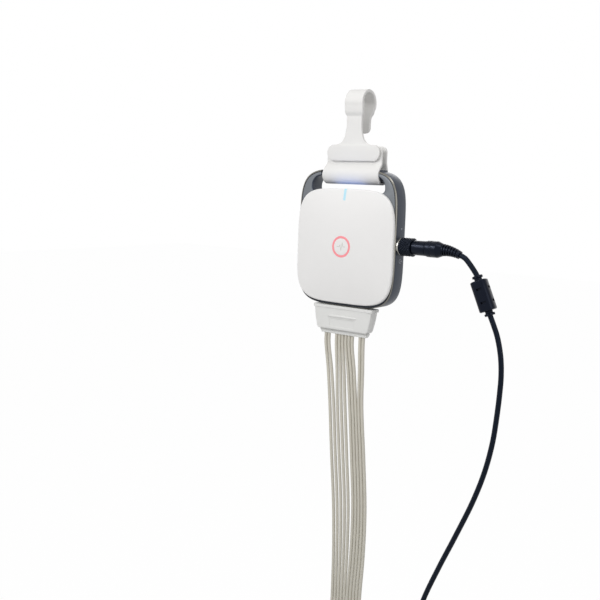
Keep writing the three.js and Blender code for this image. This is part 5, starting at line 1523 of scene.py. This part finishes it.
# %% [markdown]
# The hanger starts as a wide tab, a stadium seen from the front, narrows in a fillet to
# the neck, goes over the rail as a loop, and comes down behind as a short tongue.
# %% Hanger
STRAP_THICKNESS = 2.7
TAB_THICKNESS = 2.4
TAB_HALF = 27.4
TAB_LOW_Z = 74.8
TAB_HEIGHT = 14.3
NECK_FRONT_Y = 5.5
NECK_HALF = 7.8
NECK_END_Z = 113
FILLET_TOP_Z = 108
FILLET_X = 18.5
LOOP_HALF = 9.25
LOOP_START_Z = 117
LOOP_OUTER = 11.75
LOOP_MIDDLE = np.array([14.95, 125.3])
TONGUE_Y = 21.5
TONGUE_END_Z = 99.3
TONGUE_CORNER = 5
STRAP_X = 1.2
STRAP_EDGE = 0.7
STRAP_STEP = 0.55
THINNING_HEIGHT = 4
STUD_X = 17
STUD_PROFILE = [
    [6.7, 2.5], [17.6, 2.5], [17.6, 4.0], [18.4, 4.0], [19.1, 3.0], [19.2, AXIS]]
STUD_ROUND = 0.3
tab_top_z = TAB_LOW_Z + TAB_HEIGHT


def tab_half_width(z):
    """Stadium, then the fillet's curve, then the neck and the wider loop, by level."""
    end = TAB_HEIGHT / 2
    away = np.clip(np.abs(z - TAB_LOW_Z - end) / end, 0, 1)
    # Every visible piece, cord or shell, then rides on its body and hides the part of the measured
    # model that it stands for, where it stands for one.
    stadium = TAB_HALF - end + end * np.sqrt(1 - away ** 2)
    up = np.clip((z - tab_top_z) / (FILLET_TOP_Z - tab_top_z), 0, 1)
    fillet = blend(NECK_HALF, FILLET_X, (1 - np.sqrt(up)) ** 2)
    rise = np.clip((z - NECK_END_Z) / (LOOP_START_Z - NECK_END_Z), 0, 1)
    above = blend(fillet, LOOP_HALF, eased(rise))
    tab = np.where(z > TAB_LOW_Z + end, np.maximum(stadium, FILLET_X), stadium)
    return np.where(z <= tab_top_z, tab, above)


neck_y = NECK_FRONT_Y + STRAP_THICKNESS / 2
tongue_y = TONGUE_Y - STRAP_THICKNESS / 2
loop_places = arc(LOOP_MIDDLE, LOOP_OUTER - STRAP_THICKNESS / 2, 195, -40, count=15)
hanger_places = np.vstack([
    [[neck_y, TAB_LOW_Z], [neck_y, tab_top_z], [neck_y, NECK_END_Z - STRAP_THICKNESS],
     [neck_y, NECK_END_Z + 1], [blend(neck_y, loop_places[0, 0], 0.7), LOOP_START_Z + 0.3]],
    loop_places,
    [[tongue_y, NECK_END_Z - STRAP_THICKNESS], [tongue_y, TONGUE_END_Z]]])
hanger_line, marks = end_dense(smooth_line(hanger_places, steps=24), STRAP_STEP, STRAP_EDGE)
level = hanger_line[:, 1]
in_front = marks < marks[-1] / 2
front_widths = tab_half_width(level)
tongue_widths = np.where(
    level < NECK_END_Z,
    round_end(NECK_HALF, TONGUE_CORNER, TONGUE_END_Z + TONGUE_CORNER - level), front_widths)
thinning = np.clip((level - tab_top_z) / THINNING_HEIGHT, 0, 1)
thickness = np.where(in_front, blend(TAB_THICKNESS, STRAP_THICKNESS, thinning), STRAP_THICKNESS)
hanger_line[:, 0] -= (STRAP_THICKNESS - thickness) / 2
hanger_rows = strap_rows(
    hanger_line, np.where(in_front, front_widths, tongue_widths), thickness, STRAP_EDGE)


def stud_shell(sign):
    """A moulded button: a neck through the band's two layers and a domed head behind."""
    middle = (STRAP_X + sign * STUD_X, 0, TAB_LOW_Z + TAB_HEIGHT / 2)
    return turned(soft_corners(STUD_PROFILE, STUD_ROUND, steps=5), middle, "y", sides=48)


make_piece(
    "silicone_hanger", [skin(hanger_rows + [STRAP_X, 0, 0]), stud_shell(-1), stud_shell(1)],
    [silicone], "hanger", ("hanger_strap",), sharp=45)
print("hanger is", round(float(marks[-1]), 1), "mm long along its middle")

# %% [markdown]
# The band is one more strap. It lies in two layers behind the tab. Below the tab the
# front layer slopes forward and the rear one back, into a ring round the handle's grip.
# %% Band
BAND_THICKNESS = 2
BAND_EDGE = 0.6
BAND_STEP = 0.5
BAND_GAP = 0.35
BAND_RADIUS = GRIP_RADIUS + BAND_GAP + BAND_THICKNESS / 2
BAND_HALF = 28.5
BAND_LOW_HALF = 29.6
BAND_TOP_Z = 88
BAND_FRONT_TOP_Z = 86.5
BAND_CORNER = 5
BAND_FRONT_Y = 9.2
BAND_REAR_Y = 16.3

band_places = np.vstack([
    [[BAND_FRONT_Y, BAND_FRONT_TOP_Z], [BAND_FRONT_Y, TAB_LOW_Z + 2],
     [BAND_FRONT_Y - 0.1, TAB_LOW_Z - 0.6], [BAND_FRONT_Y - 0.7, TAB_LOW_Z - 2.9],
     [BAND_FRONT_Y - 2.4, TAB_LOW_Z - 4.9]],
    arc(GRIP_MIDDLE, BAND_RADIUS, 140, 380, count=15),
    [[BAND_REAR_Y + 0.8, TAB_LOW_Z - 5.2], [BAND_REAR_Y + 0.1, TAB_LOW_Z - 1.2],
     [BAND_REAR_Y, TAB_LOW_Z + 2], [BAND_REAR_Y, BAND_TOP_Z]]])
band_line, marks = end_dense(smooth_line(band_places, steps=20), BAND_STEP, BAND_EDGE)


def band_half_width(z):
    """Widest at the ring, a little narrower at the tab, with round corners at the top."""
    drawn = np.interp(z, [GRIP_MIDDLE[1], TAB_LOW_Z], [BAND_LOW_HALF, BAND_HALF])
    return round_end(drawn, BAND_CORNER, z - (BAND_TOP_Z - BAND_CORNER))


band_rows = strap_rows(band_line, band_half_width(band_line[:, 1]), BAND_THICKNESS, BAND_EDGE)
make_piece(
    "silicone_band", [skin(band_rows + [STRAP_X, 0, 0])], [silicone], "hanger",
    ("wrap_band",), sharp=45)
print("band is", round(float(marks[-1]), 1), "mm long along its middle")

# %% [markdown]
# Two black ties of hook tape hold the coil and the folded leads. A tie is a flat ring
# with round corners, with the free end of the tape lying over it as a second layer.
# %% Ties
TIE_EDGE = 0.3
TIE_OUTER_SHARE = 1.4
TIE_INNER_SHARE = 0.8
FLAP_SHARES = (0.12, 0.9)
FLAP_MARGIN = 0.2
FLAP_CORNER = 1.5
FLAP_PROUD = 0.5
COIL_TIE_SPARE = (3.1, 2.65)
COIL_TIE_WALL = 1.3
COIL_TIE_HALF_HEIGHT = 4
LEAD_TIE_HALF = (12.1, 8.9)
LEAD_TIE_WALL = 1.5
LEAD_TIE_HALF_HEIGHT = 7


def tie_shells(x, y, wall, middle_z, half_height):
    """The ring round what lies between two x and two y, and a short outer layer on its
    front with a rounded end."""
    low_z, high_z = middle_z - half_height, middle_z + half_height
    outer = round_box(x[0] - wall, x[1] + wall, y[0] - wall, y[1] + wall, wall * TIE_OUTER_SHARE)
    hole = round_box(*x, *y, wall * TIE_INNER_SHARE)
    rim = rounded_rim(low_z, high_z, TIE_EDGE, TIE_EDGE, steps=4)
    ring = plate(outer, rim, [(hole, rim)], "z")
    low, high = (blend(*x, share) for share in FLAP_SHARES)
    flap_y = y[0] - wall
    flap = plate(
        round_box(low, high, low_z + FLAP_MARGIN, high_z - FLAP_MARGIN, FLAP_CORNER),
        rounded_rim(flap_y - FLAP_PROUD, flap_y + TIE_EDGE, TIE_EDGE, 0))
    return [ring, flap]


coil_inner = COIL_RADIUS - COIL_PITCH * COIL_TURNS / 2
coil_x = COIL_LEFT_X + COIL_RADIUS
side, depth = COIL_TIE_SPARE
coil_tie_shells = tie_shells(
    (coil_x + coil_inner - side, coil_x + COIL_RADIUS + side),
    (CABLE_Y - depth, CABLE_Y + COIL_LAYER_PITCH + depth),
    COIL_TIE_WALL, COIL_MIDDLE_Z, COIL_TIE_HALF_HEIGHT)
coil_tie_piece = make_piece(
    "coil_hook_tie", coil_tie_shells, [tie_nylon], "cable_plug", ("coil_tie",))

hank_x = STATION_MIDDLES[-1].mean() + RUN_PITCH
side, depth = LEAD_TIE_HALF
lead_tie_shells = tie_shells(
    (hank_x - side, hank_x + side), (STATION_Y[-1] - depth, STATION_Y[-1] + depth),
    LEAD_TIE_WALL, WAIST_Z, LEAD_TIE_HALF_HEIGHT)
lead_tie_piece = make_piece(
    "lead_hook_tie", lead_tie_shells, [tie_nylon], "lead_set", ("lead_tie",))
print("ties at", round(float(coil_x), 1), "and", round(float(hank_x), 1), "mm")

# %% [markdown]
# The cable ends in a plug for the computer. Its body is a black moulding with five finger
# ridges on the front and five on the back.
# %% Body of the computer plug
USB_X = COIL_LEFT_X
USB_Y = CABLE_Y + COIL_LAYER_PITCH
CABLE_END_GAP = 0.3
USB_BODY = 26
USB_BODY_HALF = 7.5
USB_BODY_DEPTH = 4
USB_BODY_CORNERS = (1.2, 3.2)
USB_BODY_ROUND = 1
RIDGES = 5
RIDGE_START = 10
RIDGE_PITCH = 2.2
RIDGE_HALF = 4.5
RIDGE_HEIGHT = 1
RIDGE_PROUD = 0.3
RIDGE_CORNER = 0.45
SMALL_ROUND = 0.2

usb_top_z = COIL_MIDDLE_Z - COIL_TAIL - CABLE_END_GAP
body_end_z = usb_top_z - USB_BODY
usb_body = plate(
    round_box(
        USB_X - USB_BODY_HALF, USB_X + USB_BODY_HALF, body_end_z, usb_top_z, *USB_BODY_CORNERS),
    rounded_rim(
        USB_Y - USB_BODY_DEPTH, USB_Y + USB_BODY_DEPTH, USB_BODY_ROUND, USB_BODY_ROUND, steps=6))


def grip_ridge(number, y):
    """One finger ridge across the body's front or back face."""
    low_z = usb_top_z - RIDGE_START - RIDGE_PITCH * number
    outline = round_box(
        USB_X - RIDGE_HALF, USB_X + RIDGE_HALF, low_z, low_z + RIDGE_HEIGHT, RIDGE_CORNER)
    return plate(
        outline, rounded_rim(y - RIDGE_PROUD, y + RIDGE_PROUD, SMALL_ROUND, SMALL_ROUND, steps=4))


ridges = [
    grip_ridge(number, y) for number in range(RIDGES)
    for y in (USB_Y - USB_BODY_DEPTH, USB_Y + USB_BODY_DEPTH)]
print("finger ridges:", len(ridges))

# %% [markdown]
# Below the body is a folded steel shell with two square windows and a white tongue inside it. The
# windows are painted shade: dark patches just above the steel, where the shade inside the holes would
# fall. Three materials share the one piece, so each shell has the number of its own.
# %% Computer plug
USB_SHELL = 17
USB_SHELL_HALF = (6, 2.25)
USB_SHELL_CORNERS = (0.5, 0.3)
USB_SHEET = 0.35
SHEET_ROUND = 0.1
TONGUE_HALF = 5.5
TONGUE_LEVELS = (0.1, 1.8)
WINDOW_X = 2.7
WINDOW_HALF = 1.1
WINDOW_LEVELS = (6.5, 8.9)
WINDOW_DEPTHS = (-2.27, -2.2)
white_insert = moulded("white_nylon_insert", ("#e9e9e6", "#e3e3e0"), 0.45, 0.3, 0.002)
shell_end_z = body_end_z - USB_SHELL


def shell_box(inset, corner):
    """The steel shell's section, from above, moved in by an inset."""
    half_x, half_y = USB_SHELL_HALF[0] - inset, USB_SHELL_HALF[1] - inset
    return round_box(USB_X - half_x, USB_X + half_x, USB_Y - half_y, USB_Y + half_y, corner)


def window_shade_patch(side):
    """One of the two square windows, as painted shade: a dark patch just above the steel."""
    x = USB_X + side * WINDOW_X
    outline = round_box(
        x - WINDOW_HALF, x + WINDOW_HALF, *(shell_end_z + np.array(WINDOW_LEVELS)), SMALL_ROUND)
    return plate(outline, rounded_rim(*(USB_Y + np.array(WINDOW_DEPTHS)), 0, 0, steps=2))


shell_rim = rounded_rim(shell_end_z, body_end_z + 1, SHEET_ROUND, 0, steps=3)
shell_outline, shell_hole = (
    shell_box(inset, corner) for inset, corner in zip((0, USB_SHEET), USB_SHELL_CORNERS))
usb_shell = plate(shell_outline, shell_rim, [(shell_hole, shell_rim)], "z")
usb_tongue = plate(
    round_box(
        USB_X - TONGUE_HALF, USB_X + TONGUE_HALF, *(USB_Y + np.array(TONGUE_LEVELS)), SMALL_ROUND),
    rounded_rim(shell_end_z + 0.6, body_end_z + 0.5, SHEET_ROUND, 0, steps=3), upright="z")
usb_piece = make_piece(
    "computer_plug",
    [usb_body, *ridges, (*usb_shell, 1), (*usb_tongue, 2), window_shade_patch(-1), window_shade_patch(1)],
    [black_abs, tinned_steel, white_insert], "cable_plug", ("usb_plug",))
print("computer plug is", USB_BODY + USB_SHELL, "mm long")

# %% [markdown]
# Each lead ends in a plug for its electrode: a ribbed grip, a coloured collar that tells
# the leads apart, and a pin that swells a little. The collars follow the usual colours.
# %% Lead plugs
CODE_TONES = [
    "#c8332e", "#e3c53a", "#3f8f4c", "#2a2b2d", "#b9412f", "#d9c254", "#4c9158", "#7a5238",
    "#303136", "#6b4f93"]
PLUG_RADIUS = 3.2
PLUG_NOSE_RADIUS = 2.2
RIBS = 5
RIB_DEPTH = 0.35
RIB_HALF_SHARE = 0.22
RIBS_START = 6
RIBS_LENGTH = 11
GRIP_END = 17.3
COLLAR_START = 17.4
COLLAR_PLACES = [[0, AXIS], [0, 3.1], [-5.8, 3.1], [-6.6, 2.5], [-6.6, AXIS]]
COLLAR_ROUNDING = 0.3
PIN_START = 23.5
PIN_PLACES = [
    [0, AXIS], [0, 1.5], [-2.5, 1.5], [-8.5, 1.9], [-15.1, 1.6], [-16.5, 0.7], [-16.5, AXIS]]
PIN_ROUNDING = 0.4
RIB_POINTS = 61


def plug_shells(end):
    """Grip with five ribs (material 0), collar (1) and pin (2), turned about z."""
    z = end[2] - CABLE_END_GAP
    share = np.linspace(0, 1, RIB_POINTS)
    ribs = PLUG_RADIUS - RIB_DEPTH * (np.abs(share * RIBS % 1 - 0.5) < RIB_HALF_SHARE)
    grip = np.vstack([
        [[z, AXIS], [z, PLUG_NOSE_RADIUS]],
        np.column_stack([z - RIBS_START - RIBS_LENGTH * share, ribs]),
        [[z - GRIP_END, PLUG_RADIUS], [z - GRIP_END, AXIS]]])
    collar = soft_corners(np.array(COLLAR_PLACES) + [z - COLLAR_START, 0], COLLAR_ROUNDING)
    pin = soft_corners(np.array(PIN_PLACES) + [z - PIN_START, 0], PIN_ROUNDING)
    middle = (end[0], end[1], 0)
    return [
        (*turned(profile, middle, "z", sides), number)
        for number, (profile, sides) in enumerate([(grip, 32), (collar, 32), (pin, 24)])]


for i, (line, tone) in enumerate(zip(lead_lines, CODE_TONES), 1):
    code = moulded(f"collar_colour_{i}", (tone, tone), 0.4, 0.3, 0.003)
    make_piece(
        f"electrode_plug_{i}", plug_shells(line[-1]), [connector_abs, code, nickel], "lead_set",
        (f"lead_plug_{i}",))

# %% [markdown]
# What stays inside the housing keeps its measured shape and gets the finish of the real
# thing: a green board, a tinned shield, and black moulded sockets.
# %% Inner pieces
board_green = moulded("green_solder_mask", ("#2c5a43", "#27523c"), 0.35, 0.8, 0.01)
inner_finishes = {
    "main_board": board_green, "shield_can": tinned_steel, "button_switch": black_abs,
    "lead_socket": black_abs}
for node, material in inner_finishes.items():
    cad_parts[node].data.materials.clear()
    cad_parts[node].data.materials.append(material)
print("inner pieces with a finish:", list(inner_finishes))

# %% [markdown]
# Now the cords are counted.
# %% Cords counted
print("cords:", 1 + len(leads))

# %% [markdown]
# The scene is a white sweep in soft light. The floor lies below the plugs. The world and
# the floor look white to the camera and in reflections through Light Path, while the
# light that they give the object stays plain, so that pale pieces don't burn out.
# %% Floor and world
FLOOR_GAP = 0.03
FLOOR_REACH = 6
AMBIENT = 0.4
WHITE_SHARE = 0.985
WHITE = linear("#ffffff")
floor_z = cad_box[0][2] - FLOOR_GAP


def white_when_seen(tree, plain, share, white_kind, output_kind):
    """Output = mix(plain, white, share x seen), where seen is the largest of the camera,
    glossy and transmission rays' marks."""
    path = add_node(tree, "ShaderNodeLightPath")
    seen = path.outputs["Is Camera Ray"]
    for kind in ("Is Glossy Ray", "Is Transmission Ray"):
        larger = add_node(tree, "ShaderNodeMath", {0: seen, 1: path.outputs[kind]}, operation="MAXIMUM")
        seen = larger.outputs[0]
    scaled = add_node(tree, "ShaderNodeMath", {0: seen, 1: share}, operation="MULTIPLY")
    white = add_node(tree, white_kind, {"Color": WHITE, "Strength": 1.0})
    mixed = add_node(tree, "ShaderNodeMixShader", {
        0: scaled.outputs[0], 1: plain.outputs[0], 2: white.outputs[0]})
    add_node(tree, output_kind, {"Surface": mixed.outputs[0]})


floor_material, tree = empty_material("white_floor")
matt = add_node(tree, "ShaderNodeBsdfDiffuse", {"Color": linear("#f4f4f4")})
white_when_seen(tree, matt, WHITE_SHARE, "ShaderNodeEmission", "ShaderNodeOutputMaterial")
floor_mesh = bpy.data.meshes.new("floor")
floor_corners = [
    (FLOOR_REACH * x, FLOOR_REACH * y, floor_z) for x, y in ((-1, -1), (1, -1), (1, 1), (-1, 1))]
floor_mesh.from_pydata(floor_corners, [], [(0, 1, 2, 3)])
floor_mesh.materials.append(floor_material)
floor = bpy.data.objects.new("floor", floor_mesh)
bpy.context.collection.objects.link(floor)

world = bpy.data.worlds.new("studio")
bpy.context.scene.world = world
world.use_nodes = True
world.node_tree.nodes.clear()
soft = add_node(
    world.node_tree, "ShaderNodeBackground", {"Color": WHITE, "Strength": AMBIENT})
white_when_seen(world.node_tree, soft, 1.0, "ShaderNodeBackground", "ShaderNodeOutputWorld")
print("floor at", round(floor_z, 3), "m")

# %% [markdown]
# Soft lamps shape the object. The large key stands above and to the left of the camera.
# The others are weaker: one high on the right, one from the right, one from behind, and
# a small one further left that draws the streak along the black plug. A tiny blue one
# stands for the light that the bar throws up on the band. Each row below is a lamp's
# name, place, target, size, watts and colour.
# %% Lamps
LAMPS = [
    ("key_lamp", (-180, -700, 390), (0, 0, 0), 420, 2.8, "#ffffff"),
    ("top_lamp", (330, -230, 620), (0, 0, 40), 300, 1.05, "#ffffff"),
    ("side_lamp", (-440, -640, 500), (60, 0, 0), 160, 1.0, "#ffffff"),
    ("fill_lamp", (900, -380, 150), (0, 0, -30), 600, 1.45, "#ffffff"),
    ("back_lamp", (-300, 900, 300), (0, 0, -100), 700, 2.0, "#ffffff"),
    ("bar_glow", (0, -4.5, 51.2), (0, -4.5, 60), 30, 0.0016, "#7fa6ff"),
]


def soft_lamp(name, where, target, size_mm, watts, tone):
    """A square area lamp that looks from one drawing point to another."""
    data = bpy.data.lights.new(name, "AREA")
    data.size = size_mm * MM
    data.energy = watts
    data.color = linear(tone)[:3]
    lamp = bpy.data.objects.new(name, data)
    start, end = Vector(place(where)), Vector(place(target))
    lamp.rotation_euler = (end - start).to_track_quat("-Z", "Y").to_euler()
    lamp.location = start
    bpy.context.collection.objects.link(lamp)


for lamp_row in LAMPS:
    soft_lamp(*lamp_row)
print("lamps:", [name for name, *_ in LAMPS])

# %% [markdown]
# The view transform stays plain, so that a colour renders as it is written.
# %% Finish
bpy.context.scene.view_settings.view_transform = "Standard"
